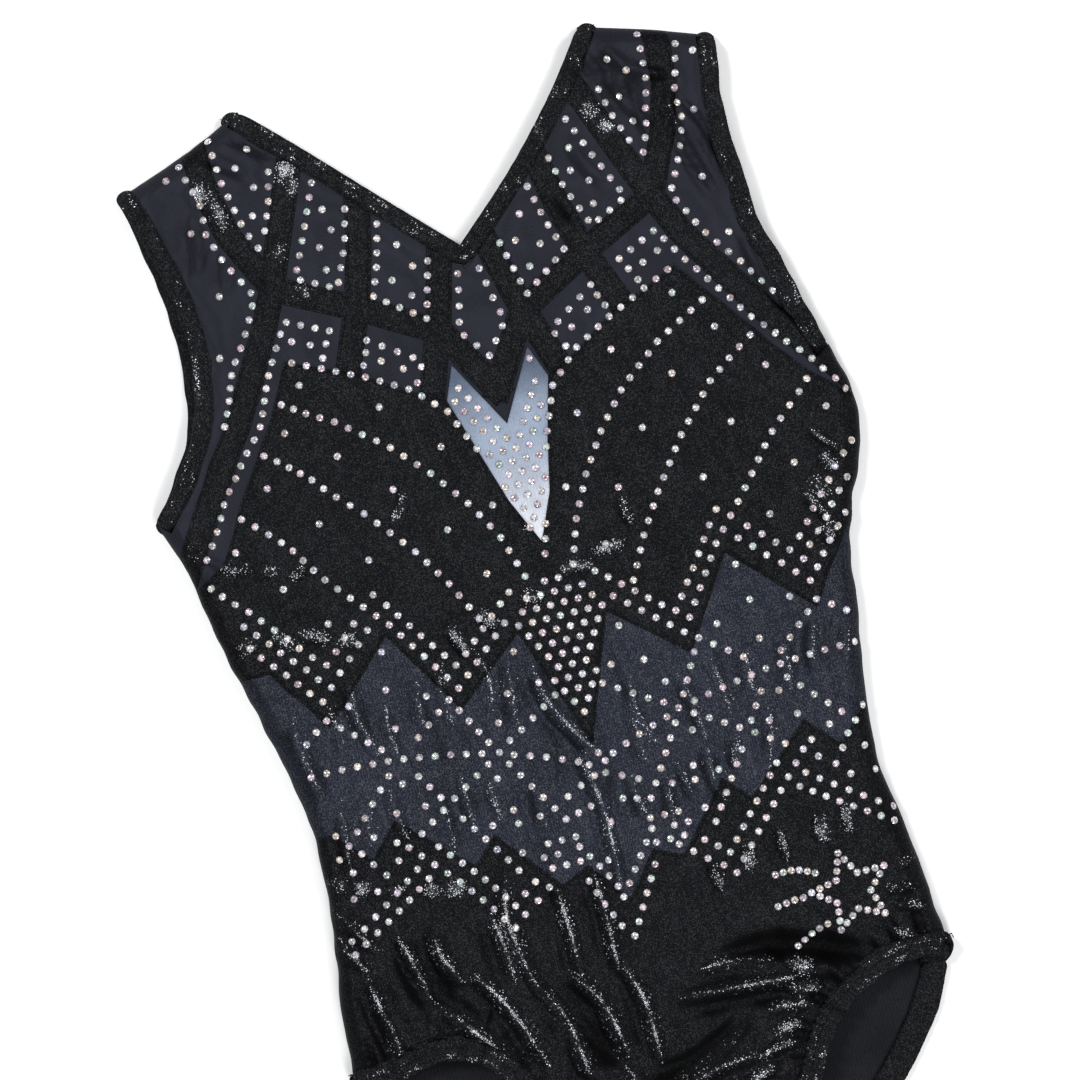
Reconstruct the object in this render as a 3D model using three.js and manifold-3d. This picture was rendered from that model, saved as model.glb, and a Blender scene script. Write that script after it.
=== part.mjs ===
// A sleeveless gymnastics leotard laid flat on its back, front side up, in millimetres.
// X runs across the garment, Y from the crotch to the shoulders and Z up out of the front.
// The garment is two layers, back and front, held apart by its seams so that the body's
// space, the neck, the arm holes and the leg holes stay open between them.

import * as THREE from "three";
import { mergeVertices } from "three/addons/utils/BufferGeometryUtils.js";
import Module from "manifold-3d";

const wasm = await Module();
wasm.setup();

// Driving dimensions.
const FABRIC = 1; // thickness of a panel
const GAP = 0.3; // clearance between neighbouring pieces
const FRONT = 9; // height of the front layer's underside
const BINDING = 7; // width of the neck and arm bindings
const HEM = 9; // width of the leg hems
const BINDING_DEPTH = 2; // thickness of a folded binding or hem
const TURN = 2; // length of a binding's turn from the front to the back
const ELASTIC_DEPTH = 0.8; // thickness of the elastic tapes
const LATTICE_DEPTH = 0.8; // thickness of the lattice laid on the front yoke
const SEAM = 4; // width of a seam allowance
const LABEL_DEPTH = 0.4;
const OUTSIDE = 160; // past every edge of the garment
const SHARPEST = 0.4; // cosine of half the sharpest turn that is mitred in full

// The V of the neckline, where the pattern is measured from, in the part's own frame.
const NECK_POINT = new THREE.Vector3(3.25, 156.5, 0);

// The pattern, measured from the V of the neckline: x to the garment's left side as it is
// worn, y up. Each edge runs from top to bottom, and the curved ones are splines.
const CROTCH_Y = -392;
const EDGES = {
  right: {
    neckFront: [[0, 8], [25, 31], [45, 53], [58, 70], [64, 79]],
    neckBack: [[0, -30], [30, -22], [52, 2], [61, 36], [64, 79]],
    shoulder: [[64, 79], [90, 71.5], [114, 63]],
    armFront: [[114, 63], [112, 38], [112, 12], [113.5, -9], [119, -30], [124, -47], [129, -63]],
    armBack: [[114, 63], [109.5, 38], [108, 12], [109, -9], [114, -30], [120, -47], [129, -63]],
    side: [
      [129, -63], [132, -78], [133.5, -92], [129, -108], [121, -127], [116, -152], [113, -178],
      [109.5, -203], [108.5, -220], [111, -245], [115, -272], [117, -303],
    ],
    legFront: [
      [117, -303], [105, -300.5], [91.5, -303], [77.5, -310.5], [67, -320], [58, -336], [43, -364],
      [32, CROTCH_Y],
    ],
    legBack: [[117, -303], [111.5, -316], [102.5, -329], [87, -347], [59, -373], [32, CROTCH_Y]],
  },
  left: {
    neckFront: [[0, 8], [-25, 33], [-50, 58.5], [-71, 79]],
    neckBack: [[0, -30], [-34, -22], [-57, 2], [-67, 36], [-71, 79]],
    shoulder: [[-71, 79], [-92, 68.5], [-124, 57]],
    armFront: [[-124, 57], [-116, 30], [-111.5, 0], [-112, -20], [-117, -37], [-126, -52], [-140, -68]],
    armBack: [[-124, 57], [-119, 30], [-116, 0], [-116, -20], [-120, -38], [-128, -52], [-140, -68]],
    side: [
      [-140, -68], [-134, -84], [-130, -100], [-127, -118], [-121, -142], [-115.5, -165],
      [-110.5, -190], [-110, -210], [-112, -240], [-115.5, -270], [-117, -300],
    ],
    legFront: [
      [-117, -300], [-105, -299.5], [-93, -297], [-82, -295], [-71, -298.5], [-62, -307], [-50, -333],
      [-39, -364], [-32, CROTCH_Y],
    ],
    legBack: [[-117, -300], [-110, -318], [-97, -337], [-78, -357], [-55, -376], [-32, CROTCH_Y]],
  },
};

// Seams between the panels, from the pattern's centre line outwards, on one half. The front yoke's
// seam has a half of its own on each side under the arm, where the cloth lies unevenly.
const FRONT_YOKE_TOP = [
  [0, -63], [15, -36], [20, -49], [32.5, -42.5], [50, -31], [62, -26], [77, -19.5],
];
const FRONT_YOKE_SEAM = {
  left: [
    ...FRONT_YOKE_TOP, [86.5, -38], [94, -50], [101, -60], [108.5, -70.5], [114, -80], [121, -90],
    [OUTSIDE, -112],
  ],
  right: [...FRONT_YOKE_TOP, [95, -42], [117, -71], [OUTSIDE, -115]],
};
const BACK_YOKE_SEAM = [[0, -62], [60, -58], [100, -68], [OUTSIDE, -110]];
const UPPER_ZIGZAG = [
  [0, -190.5], [17.5, -142], [45.5, -165.5], [67, -131], [96, -160], [114, -134.5], [OUTSIDE, -134.5],
];
const LOWER_ZIGZAG = [
  [0, -251], [13, -235], [24, -240], [45, -215], [54.5, -225], [81, -200.5], [92.5, -213],
  [106, -200], [OUTSIDE, -200],
];
// The two-pointed inset under the neckline, on one half.
const INSET = [[0, -63], [15, -36], [20, -49], [13, -73], [8, -92], [0, -110]];

// How far the pattern's centre line stands to the side of the neckline's point, at a height.
const LEAN_TOP = 0.7;
const LEAN_BOTTOM = 3;
const lean = (y) => LEAN_TOP + (LEAN_BOTTOM - LEAN_TOP) * THREE.MathUtils.smoothstep(-y, 50, 110);

// The centre lines of the lattice's bands over the mesh yoke, on one half.
const BAND = 9.5; // width of a lattice band
const BANDS = [
  [[8, 12], [16.5, -21.5], [-2, -53]],
  [[17, -22], [26.5, -50]],
  [[34, 40], [39, 15], [45, -6]],
  [[54, 62], [63.5, 38], [75, 9]],
  [[17, -22], [45, -6], [75, 9]],
  [[45, -6], [57, -36]],
];
// The band that runs from the shoulder round each arm hole to the side.
const SHOULDER_BAND = [[91.5, 80], [90.5, 50], [86, 32], [75, 9], [82, -6]];
const ARM_BANDS = {
  left: [
    ...SHOULDER_BAND, [91.5, -24], [98.5, -36], [107.5, -50], [116, -62], [121.5, -70], [129, -81],
    [137, -93],
  ],
  right: [...SHOULDER_BAND, [93, -24], [106, -43], [121, -62], [137, -86]],
};

const mirrored = (points) => points.map(([x, y]) => [-x, y]);
const vectors = (points) => points.map(([x, y]) => new THREE.Vector2(x, y));
const placed = (points) => vectors(points.map(([x, y]) => [x + lean(y), y]));

// Both halves of a line as one line from left to right, and a line whose halves are alike.
const acrossBody = ({ left, right }) => placed([...mirrored(left).reverse(), ...right.slice(1)]);
const even = (half) => ({ left: half, right: half });

// A smooth curve through the points, sampled evenly within each of their spans.
function smooth(points, perSpan = 3) {
  return new THREE.SplineCurve(vectors(points)).getPoints(perSpan * (points.length - 1));
}

const lengthOf = (path) => path.slice(1).reduce((sum, point, i) => sum + point.distanceTo(path[i]), 0);

// The path without a length at its start and a length at its end.
function trim(path, start, end) {
  const distances = path.map((_, i) => lengthOf(path.slice(0, i + 1)));
  const last = lengthOf(path) - end;
  const at = (distance) => {
    const i = Math.max(1, distances.findIndex((d) => d >= distance - 1e-6));
    const share = (distance - distances[i - 1]) / (distances[i] - distances[i - 1]);
    return path[i - 1].clone().lerp(path[i], share);
  };
  const inner = path.filter((_, i) => distances[i] > start + 0.5 && distances[i] < last - 0.5);
  return [at(start), ...inner, at(last)];
}

// The first and the last stretch of a path.
const head = (path, length) => trim(path, 0, lengthOf(path) - length);
const tail = (path, length) => trim(path, lengthOf(path) - length, 0);

// The path moved sideways by a distance: to its right where the distance is positive.
function offset(path, distance, closed = false) {
  const count = path.length;
  return path.map((point, i) => {
    const before = closed ? path[(i + count - 1) % count] : path[Math.max(i - 1, 0)];
    const after = closed ? path[(i + 1) % count] : path[Math.min(i + 1, count - 1)];
    const into = point.clone().sub(before).normalize();
    const out = after.clone().sub(point).normalize();
    const along = into.clone().add(out).normalize();
    const isEnd = !closed && (i === 0 || i === count - 1);
    const mitre = isEnd ? 1 : 1 / Math.max(along.dot(into), SHARPEST);
    return new THREE.Vector2(along.y, -along.x).multiplyScalar(distance * mitre).add(point);
  });
}

// The path with a straight length added at both of its ends.
function extended(path, length) {
  const beyond = (end, next) => end.clone().add(end.clone().sub(next).setLength(length));
  return [beyond(path[0], path[1]), ...path, beyond(path[path.length - 1], path[path.length - 2])];
}

// A strip along one side of a path, as a closed outline: from near to far away from it.
function strip(path, near, far) {
  return [...offset(path, near), ...offset(path, far).reverse()];
}

// A straight-walled solid over a closed outline, as a manifold.
function prism(outline, bottom, top) {
  const shape = new THREE.Shape(outline);
  const geometry = new THREE.ExtrudeGeometry(shape, { depth: top - bottom, bevelEnabled: false });
  geometry.translate(0, 0, bottom);
  geometry.deleteAttribute("normal");
  geometry.deleteAttribute("uv");
  const merged = mergeVertices(geometry, 1e-4);
  const vertProperties = merged.attributes.position.array;
  const triVerts = new Uint32Array(merged.index.array);
  return new wasm.Manifold(new wasm.Mesh({ numProp: 3, vertProperties, triVerts }));
}

const union = (solids) => solids.reduce((whole, solid) => whole.add(solid));

// Every edge of the garment as a sampled path, from the centre line or the top downwards.
function pathsOf(edges) {
  return Object.fromEntries(Object.entries(edges).map(([name, points]) => [name, smooth(points)]));
}
const right = pathsOf(EDGES.right);
const left = pathsOf(EDGES.left);

// The closed outline of one layer, which is "Front" or "Back".
function layerOutline(layer) {
  const half = (paths) => [
    ...paths["neck" + layer].slice(0, -1),
    ...paths.shoulder.slice(0, -1),
    ...paths["arm" + layer].slice(0, -1),
    ...paths.side.slice(0, -1),
    ...paths["leg" + layer],
  ];
  return [...half(right), ...half(left).slice(1).reverse()];
}

// The openings' edges. A run is one layer's edge of an opening, and lies on the side of its
// path that sign gives: 1 is to the right of the direction in which the path runs.
const throughCentre = (leftPath, rightPath) => [...leftPath.slice(1).reverse(), ...rightPath];
const OPENINGS = {
  neck: {
    width: BINDING,
    front: { path: throughCentre(left.neckFront, right.neckFront), sign: 1 },
    back: { path: throughCentre(left.neckBack, right.neckBack), sign: 1 },
  },
  left_arm: {
    width: BINDING,
    front: { path: right.armFront, sign: 1 },
    back: { path: right.armBack, sign: 1 },
  },
  right_arm: {
    width: BINDING,
    front: { path: left.armFront, sign: -1 },
    back: { path: left.armBack, sign: -1 },
  },
  left_leg: {
    width: HEM,
    front: { path: right.legFront, sign: 1 },
    back: { path: right.legBack, sign: 1 },
  },
  right_leg: {
    width: HEM,
    front: { path: left.legFront, sign: -1 },
    back: { path: left.legBack, sign: -1 },
  },
};

// The binding or hem of an opening: a strip on each layer, joined at both ends by a turn.
function bindingOf({ width, front, back }) {
  const top = FRONT + BINDING_DEPTH;
  const band = (path, sign, low, high) => prism(strip(path, 0, sign * width), low, high);
  return union([
    band(front.path, front.sign, FRONT, top),
    band(back.path, back.sign, 0, BINDING_DEPTH),
    ...[front, back].flatMap(({ path, sign }) => [
      band(head(path, TURN), sign, 0, top),
      band(tail(path, TURN), sign, 0, top),
    ]),
  ]);
}

// The elastic tape that the binding of an opening is folded round, as a tape on each layer.
function elasticOf({ width, front, back }, layer) {
  const { path, sign } = layer === "front" ? front : back;
  const bottom = layer === "front" ? FRONT - GAP - ELASTIC_DEPTH : BINDING_DEPTH + GAP;
  const clear = trim(path, TURN + width, TURN + width);
  return prism(strip(clear, sign, sign * (width - 1)), bottom, bottom + ELASTIC_DEPTH);
}

// What a layer's panels keep clear of: each opening's binding, grown by the gap.
function clearance(layer) {
  const low = -BINDING_DEPTH;
  const high = FRONT + 3 * BINDING_DEPTH;
  const other = layer === "front" ? "back" : "front";
  const around = (path, sign, width) =>
    prism(strip(extended(path, GAP), -sign * GAP, sign * (width + GAP)), low, high);
  return union(
    Object.values(OPENINGS).flatMap((opening) => {
      const { width } = opening;
      const { sign, path } = opening[other];
      return [
        around(opening[layer].path, sign, width),
        around(head(path, TURN + GAP), sign, width),
        around(tail(path, TURN + GAP), sign, width),
      ];
    }),
  );
}

const clearances = { Front: clearance("front"), Back: clearance("back") };

// A panel of one layer, between an upper and a lower line that run from left to right.
function panel(layer, upper, lower, bottom, thickness) {
  const between = [...upper, ...lower.slice().reverse()];
  return prism(layerOutline(layer), bottom, bottom + thickness)
    .intersect(prism(between, bottom - 1, bottom + thickness + 1))
    .subtract(clearances[layer]);
}

const ABOVE = vectors([[-OUTSIDE, OUTSIDE], [OUTSIDE, OUTSIDE]]);
const BELOW = vectors([[-OUTSIDE, 2 * CROTCH_Y], [OUTSIDE, 2 * CROTCH_Y]]);

const above = (line) => offset(line, -GAP / 2);
const below = (line) => offset(line, GAP / 2);

// The panels of one layer from the shoulders to the crotch. The yoke's lower seam and the
// bodice's upper seam are the same line, but for the inset between them.
function panelsOf(layer, yokeSeam, bodiceSeam, bottom) {
  const zigzags = [even(UPPER_ZIGZAG), even(LOWER_ZIGZAG)];
  const [yoke, bodice, upper, lower] = [yokeSeam, bodiceSeam, ...zigzags].map(acrossBody);
  return {
    yoke: panel(layer, ABOVE, above(yoke), bottom, FABRIC),
    bodice: panel(layer, below(bodice), above(upper), bottom, FABRIC),
    midriff: panel(layer, below(upper), above(lower), bottom, FABRIC),
    brief: panel(layer, below(lower), BELOW, bottom, FABRIC),
  };
}

// The inset's outline, clockwise, pulled in by a margin.
function insetOutline(margin) {
  return offset(placed([...INSET, ...mirrored(INSET.slice(1, -1)).reverse()]), margin, true);
}

// The lattice of the front yoke: its bands, within the yoke's own shape.
function lattice() {
  const bottom = FRONT + FABRIC + GAP;
  const whole = panel("Front", ABOVE, above(acrossBody(FRONT_YOKE_SEAM)), bottom, LATTICE_DEPTH);
  const lines = [...BANDS, ARM_BANDS.right, ...[...BANDS, ARM_BANDS.left].map(mirrored)];
  const bands = lines.map((line) =>
    prism(strip(placed(line), -BAND / 2, BAND / 2), bottom - 1, bottom + LATTICE_DEPTH + 1),
  );
  return whole.intersect(union(bands));
}

// A seam between the layers along a path, with its allowance on the garment's inner side.
function seam(path, sign) {
  return prism(strip(path, 0, sign * SEAM), FABRIC + GAP, FRONT - GAP);
}

// A box by its middle, its width and its length, lying on the inside of the back layer.
function label(x, y, width, length) {
  const outline = vectors([
    [x - width / 2, y - length / 2],
    [x + width / 2, y - length / 2],
    [x + width / 2, y + length / 2],
    [x - width / 2, y + length / 2],
  ]);
  return prism(outline, FABRIC + GAP, FABRIC + GAP + LABEL_DEPTH);
}

const MATERIALS = {
  black_foil: { color: 0x141416, roughness: 0.42, metalness: 0.25 },
  slate_mesh: { color: 0x33343f, roughness: 0.7, metalness: 0 },
  navy_foil: { color: 0x2b2f3d, roughness: 0.5, metalness: 0.2 },
  ombre_knit: { color: 0x9fb2d8, roughness: 0.6, metalness: 0 },
  lining: { color: 0x2a2a2f, roughness: 0.85, metalness: 0 },
  elastic: { color: 0x1c1c1e, roughness: 0.8, metalness: 0 },
  label_tape: { color: 0xd8d8d4, roughness: 0.7, metalness: 0 },
};

const group = new THREE.Group();
group.position.copy(NECK_POINT);

function add(name, solid, material) {
  const { vertProperties, triVerts } = solid.getMesh();
  const geometry = new THREE.BufferGeometry();
  geometry.setAttribute("position", new THREE.BufferAttribute(vertProperties, 3));
  geometry.setIndex(new THREE.BufferAttribute(triVerts, 1));
  geometry.computeVertexNormals();
  const mesh = new THREE.Mesh(geometry, new THREE.MeshStandardMaterial(MATERIALS[material]));
  mesh.name = name;
  group.add(mesh);
}

const underInset = {
  left: [[0, -80], ...FRONT_YOKE_SEAM.left.slice(2)],
  right: [[0, -80], ...FRONT_YOKE_SEAM.right.slice(2)],
};
const frontPanels = panelsOf("Front", FRONT_YOKE_SEAM, underInset, FRONT);
const backPanels = panelsOf("Back", even(BACK_YOKE_SEAM), even(BACK_YOKE_SEAM), 0);
const insetHole = prism(insetOutline(-GAP / 2), 0, 2 * FRONT);

add("front_yoke_mesh", frontPanels.yoke, "slate_mesh");
add("front_lattice", lattice(), "black_foil");
add("front_bodice", frontPanels.bodice.subtract(insetHole), "black_foil");
add("center_inset", prism(insetOutline(GAP / 2), FRONT, FRONT + FABRIC), "ombre_knit");
add("front_midriff", frontPanels.midriff, "navy_foil");
add("front_brief", frontPanels.brief, "black_foil");
add("back_yoke_mesh", backPanels.yoke, "slate_mesh");
add("back_bodice", backPanels.bodice, "black_foil");
add("back_midriff", backPanels.midriff, "navy_foil");
add("back_brief", backPanels.brief, "black_foil");

for (const [name, opening] of Object.entries(OPENINGS)) {
  const kind = name.endsWith("leg") ? "_hem" : "_binding";
  add(name + kind, bindingOf(opening), "black_foil");
  add(name + "_elastic_front", elasticOf(opening, "front"), "elastic");
  add(name + "_elastic_back", elasticOf(opening, "back"), "elastic");
}

add("left_side_seam", seam(trim(right.side, BINDING + 3, HEM + 3), 1), "lining");
add("right_side_seam", seam(trim(left.side, BINDING + 3, HEM + 3), -1), "lining");
add("left_shoulder_seam", seam(trim(right.shoulder, BINDING + 6, BINDING + 3), 1), "lining");
add("right_shoulder_seam", seam(trim(left.shoulder, BINDING + 6, BINDING + 3), -1), "lining");
const crotchHalf = 32 - HEM - 3;
const crotchLine = vectors([[-crotchHalf, CROTCH_Y], [crotchHalf, CROTCH_Y]]);
add("crotch_seam", seam(crotchLine, -1), "lining");

add("gusset_lining", label(0, CROTCH_Y + 36, 34, 56), "lining");
add("care_label", label(-92, -232, 14, 24), "label_tape");
add("size_label", label(0, -48, 22, 12), "label_tape");

export default group;
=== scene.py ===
"""A sleeveless gymnastics leotard laid flat on its back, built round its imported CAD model.

Every length in the pattern's own tables is in millimetres from the point of the neckline: x to the
leotard's left side as it is worn, y up. A piece is made in metres, in the CAD model's frame.
"""

import math
import random

import bpy
import numpy as np
from bpy.props import FloatProperty, FloatVectorProperty, IntProperty, PointerProperty
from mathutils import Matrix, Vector
from mathutils.geometry import delaunay_2d_cdt


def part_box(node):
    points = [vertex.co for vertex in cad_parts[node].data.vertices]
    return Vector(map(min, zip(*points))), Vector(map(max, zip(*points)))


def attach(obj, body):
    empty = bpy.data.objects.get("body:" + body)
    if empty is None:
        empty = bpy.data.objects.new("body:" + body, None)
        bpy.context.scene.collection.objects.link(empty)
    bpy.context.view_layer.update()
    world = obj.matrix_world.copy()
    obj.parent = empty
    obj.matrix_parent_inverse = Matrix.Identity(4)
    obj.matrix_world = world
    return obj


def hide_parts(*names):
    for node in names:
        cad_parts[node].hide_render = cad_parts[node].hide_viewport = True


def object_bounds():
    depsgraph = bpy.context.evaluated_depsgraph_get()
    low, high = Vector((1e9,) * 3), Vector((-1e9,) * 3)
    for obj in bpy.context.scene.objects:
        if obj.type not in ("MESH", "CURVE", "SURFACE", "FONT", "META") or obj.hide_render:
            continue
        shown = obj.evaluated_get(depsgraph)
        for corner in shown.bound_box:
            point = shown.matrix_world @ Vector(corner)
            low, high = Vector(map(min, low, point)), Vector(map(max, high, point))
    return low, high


bl_info = {
    "name": "Gymnastics leotard",
    "version": (1, 0, 0),
    "blender": (4, 5, 0),
    "location": "View3D > Sidebar > Leotard",
    "description": "Makes a leotard of panels, bindings, seams and rhinestones round its CAD frame",
    "category": "Add Mesh",
}

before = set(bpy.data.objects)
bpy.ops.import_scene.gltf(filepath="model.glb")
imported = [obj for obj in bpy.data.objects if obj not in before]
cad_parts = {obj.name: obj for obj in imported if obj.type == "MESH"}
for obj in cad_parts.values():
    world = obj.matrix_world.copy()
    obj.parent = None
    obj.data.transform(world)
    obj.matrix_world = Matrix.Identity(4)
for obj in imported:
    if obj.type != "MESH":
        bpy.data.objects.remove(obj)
CAD_BOX = [list(corner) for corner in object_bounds()]
MM = 0.001
RIGHT_TIP, SHOULDER_TOP = 140, 79  # the pattern's reach to the right arm's tip and to the shoulders
NECK_X = CAD_BOX[0][0] + RIGHT_TIP * MM
NECK_Y = CAD_BOX[1][1] - SHOULDER_TOP * MM
CROTCH_Y = -392
CROTCH_EDGE = np.array([(-32.0, CROTCH_Y), (32.0, CROTCH_Y)])
LATTICE_LIFT = 0.50  # how far the lattice stands over the yoke
STITCH_GAP = 0.55  # between one stitch and the next
RIDGE_REACH = 6  # how far from a fold's ridge its distance is still told

# The edges of the two halves, from the top down. Front and back differ at the openings.
EDGES = {
    "left": {
        "neck_front": [(0, 8), (25, 31), (45, 53), (58, 70), (64, 79)],
        "neck_back": [(0, -30), (30, -22), (52, 2), (61, 36), (64, 79)],
        "shoulder": [(64, 79), (90, 71.5), (114, 63)],
        "arm_front": [(114, 63), (112, 38), (112, 12), (113.5, -9), (119, -30), (124, -47), (129, -63)],
        "arm_back": [(114, 63), (109.5, 38), (108, 12), (109, -9), (114, -30), (120, -47), (129, -63)],
        "side": [
            (129, -63), (132, -78), (133.5, -92), (129, -108), (121, -127), (116, -152), (113, -178),
            (109.5, -203), (108.5, -220), (111, -245), (115, -272), (117, -303),
        ],
        "leg_front": [
            (117, -303), (105, -300.5), (91.5, -303), (77.5, -310.5), (67, -320), (58, -336),
            (43, -364), (32, CROTCH_Y),
        ],
        "leg_back": [(117, -303), (111.5, -316), (102.5, -329), (87, -347), (59, -373), (32, CROTCH_Y)],
    },
    "right": {
        "neck_front": [(0, 8), (-25, 33), (-50, 58.5), (-71, 79)],
        "neck_back": [(0, -30), (-34, -22), (-57, 2), (-67, 36), (-71, 79)],
        "shoulder": [(-71, 79), (-92, 68.5), (-124, 57)],
        "arm_front": [
            (-124, 57), (-116, 30), (-111.5, 0), (-112, -20), (-117, -37), (-126, -52), (-140, -68),
        ],
        "arm_back": [
            (-124, 57), (-119, 30), (-116, 0), (-116, -20), (-120, -38), (-128, -52), (-140, -68),
        ],
        "side": [
            (-140, -68), (-134, -84), (-130, -100), (-127, -118), (-121, -142), (-115.5, -165),
            (-110.5, -190), (-110, -210), (-112, -240), (-115.5, -270), (-117, -300),
        ],
        "leg_front": [
            (-117, -300), (-105, -299.5), (-93, -297), (-82, -295), (-71, -298.5), (-62, -307),
            (-50, -333), (-39, -364), (-32, CROTCH_Y),
        ],
        "leg_back": [(-117, -300), (-110, -318), (-97, -337), (-78, -357), (-55, -376), (-32, CROTCH_Y)],
    },
}

# Sheaves of folds in the front. The folds of a sheaf stand side by side from its first place to its
# last. A heading is in degrees, a rise and a width in millimetres, and a shine, the strength of the
# painted sparkle highlight along a fold, between 0 and 1.
SHEAVES = (
    # the brief, drawn down from the waist to the crotch and out to the leg hems
    {"first": (-82, -256), "last": (-8, -258), "count": 6, "heading": (-72, -84), "length": 46,
     "rise": 2.2, "width": 2.3, "shine": 0.95},
    {"first": (-66, -290), "last": (-8, -294), "count": 5, "heading": (-56, -74), "length": 44,
     "rise": 2.2, "width": 2.4, "shine": 1.0},
    {"first": (-66, -272), "last": (-28, -296), "count": 2, "heading": (-60, -56), "length": 64,
     "rise": -2.8, "width": 4.6, "shine": 0.0},
    {"first": (-105, -232), "last": (-98, -282), "count": 4, "heading": (-64, -84), "length": 34,
     "rise": 1.2, "width": 2.1, "shine": 0.6},
    {"first": (-105, -220), "last": (-62, -232), "count": 5, "heading": (-62, -100), "length": 10,
     "rise": 0.8, "width": 2.6, "shine": 0.7},
    {"first": (38, -295), "last": (38, -295), "count": 1, "heading": (-4, -4), "length": 94,
     "rise": 2.4, "width": 2.4, "shine": 0.6},
    {"first": (44, -287), "last": (8, -326), "count": 2, "heading": (-8, 14), "length": 46,
     "rise": 1.5, "width": 2.2, "shine": 0.6},
    {"first": (16, -310), "last": (50, -290), "count": 2, "heading": (12, -6), "length": 72,
     "rise": -2.8, "width": 3.6, "shine": 0.0},
    {"first": (62, -292), "last": (40, -330), "count": 6, "heading": (-34, 30), "length": 17,
     "rise": 1.4, "width": 1.9, "shine": 0.7},
    {"first": (108, -262), "last": (104, -290), "count": 4, "heading": (20, -40), "length": 15,
     "rise": 1.1, "width": 1.6, "shine": 0.45},
    {"first": (38, -250), "last": (90, -240), "count": 5, "heading": (-84, -96), "length": 14,
     "rise": 0.9, "width": 1.6, "shine": 0.62},
    {"first": (-26, -340), "last": (26, -344), "count": 6, "heading": (-84, -98), "length": 52,
     "rise": 1.5, "width": 2.6, "shine": 0.7},
    # the midriff, in long low upright ridges, with two higher ones down its middle
    {"first": (-102, -166), "last": (-22, -160), "count": 8, "heading": (-82, -94), "length": 34,
     "rise": 0.85, "width": 2.8, "shine": 0.44},
    {"first": (-98, -200), "last": (-24, -206), "count": 7, "heading": (-94, -82), "length": 32,
     "rise": 0.85, "width": 2.7, "shine": 0.44},
    {"first": (-10, -177), "last": (-5, -215), "count": 2, "heading": (-74, -78), "length": 56,
     "rise": 1.5, "width": 2.2, "shine": 0.85},
    {"first": (16, -188), "last": (106, -174), "count": 8, "heading": (-82, -96), "length": 34,
     "rise": 0.82, "width": 2.8, "shine": 0.44},
    {"first": (15, -216), "last": (66, -206), "count": 6, "heading": (-84, -96), "length": 28,
     "rise": 0.9, "width": 2.5, "shine": 0.46},
    # the bodice, smooth but for short creases by its zigzag edge and under the arms
    {"first": (-36, -140), "last": (26, -119), "count": 5, "heading": (-70, 12), "length": 13,
     "rise": 0.8, "width": 2.0, "shine": 0.66},
    {"first": (-116, -122), "last": (-76, -128), "count": 4, "heading": (-60, 6), "length": 12,
     "rise": 0.7, "width": 2.2, "shine": 0.6},
    {"first": (118, -98), "last": (108, -134), "count": 5, "heading": (-50, -72), "length": 17,
     "rise": 0.8, "width": 1.8, "shine": 0.5},
    {"first": (-129, -84), "last": (-92, -100), "count": 5, "heading": (-70, 30), "length": 12,
     "rise": 0.8, "width": 1.4, "shine": 0.5},
    {"first": (-74, -66), "last": (62, -88), "count": 5, "heading": (-110, -66), "length": 62,
     "rise": 0.45, "width": 6.5, "shine": 0.0},
    {"first": (-44, -84), "last": (34, -104), "count": 3, "heading": (-128, -80), "length": 22,
     "rise": 0.7, "width": 2.0, "shine": 0.42},
    # the yoke: drag lines at the straps and along the left arm
    {"first": (-91, 50), "last": (-88, 41), "count": 2, "heading": (-62, -70), "length": 13,
     "rise": 0.8, "width": 3.4, "shine": 1.0},
    {"first": (-59, 52), "last": (-57, 46), "count": 2, "heading": (-60, -80), "length": 9,
     "rise": 0.7, "width": 3.2, "shine": 0.95},
    {"first": (-70, 22), "last": (-62, 6), "count": 2, "heading": (-84, -60), "length": 11,
     "rise": 0.4, "width": 2.6, "shine": 0.55},
    {"first": (62, 47), "last": (66, 38), "count": 2, "heading": (-60, -70), "length": 8,
     "rise": 0.4, "width": 2.2, "shine": 0.8},
    {"first": (-84, 60), "last": (-66, 62), "count": 2, "heading": (-40, -34), "length": 20,
     "rise": -1.0, "width": 2.6, "shine": 0.0},
    {"first": (-104, 30), "last": (-78, 10), "count": 3, "heading": (-92, -104), "length": 30,
     "rise": 0.9, "width": 2.8, "shine": 0.0},
    {"first": (67, 60), "last": (80, 46), "count": 3, "heading": (-52, -84), "length": 28,
     "rise": -1.7, "width": 1.9, "shine": 0.0},
    {"first": (71, 60), "last": (86, 56), "count": 3, "heading": (-66, -40), "length": 24,
     "rise": 1.6, "width": 1.9, "shine": 0.12},
    {"first": (97, 28), "last": (97, 28), "count": 1, "heading": (-76, -76), "length": 72,
     "rise": 1.9, "width": 1.5, "shine": 0.1},
    {"first": (100.5, 24), "last": (100.5, 24), "count": 1, "heading": (-77, -77), "length": 64,
     "rise": -1.6, "width": 1.6, "shine": 0.0},
    {"first": (115, -33), "last": (115, -33), "count": 1, "heading": (-63, -63), "length": 62,
     "rise": -1.3, "width": 1.5, "shine": 0.0},
    {"first": (40, 12), "last": (56, 30), "count": 2, "heading": (-64, -60), "length": 24,
     "rise": 0.7, "width": 3.0, "shine": 0.0},
)


# ---------------------------------------------------------------- sizes and colours


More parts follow.
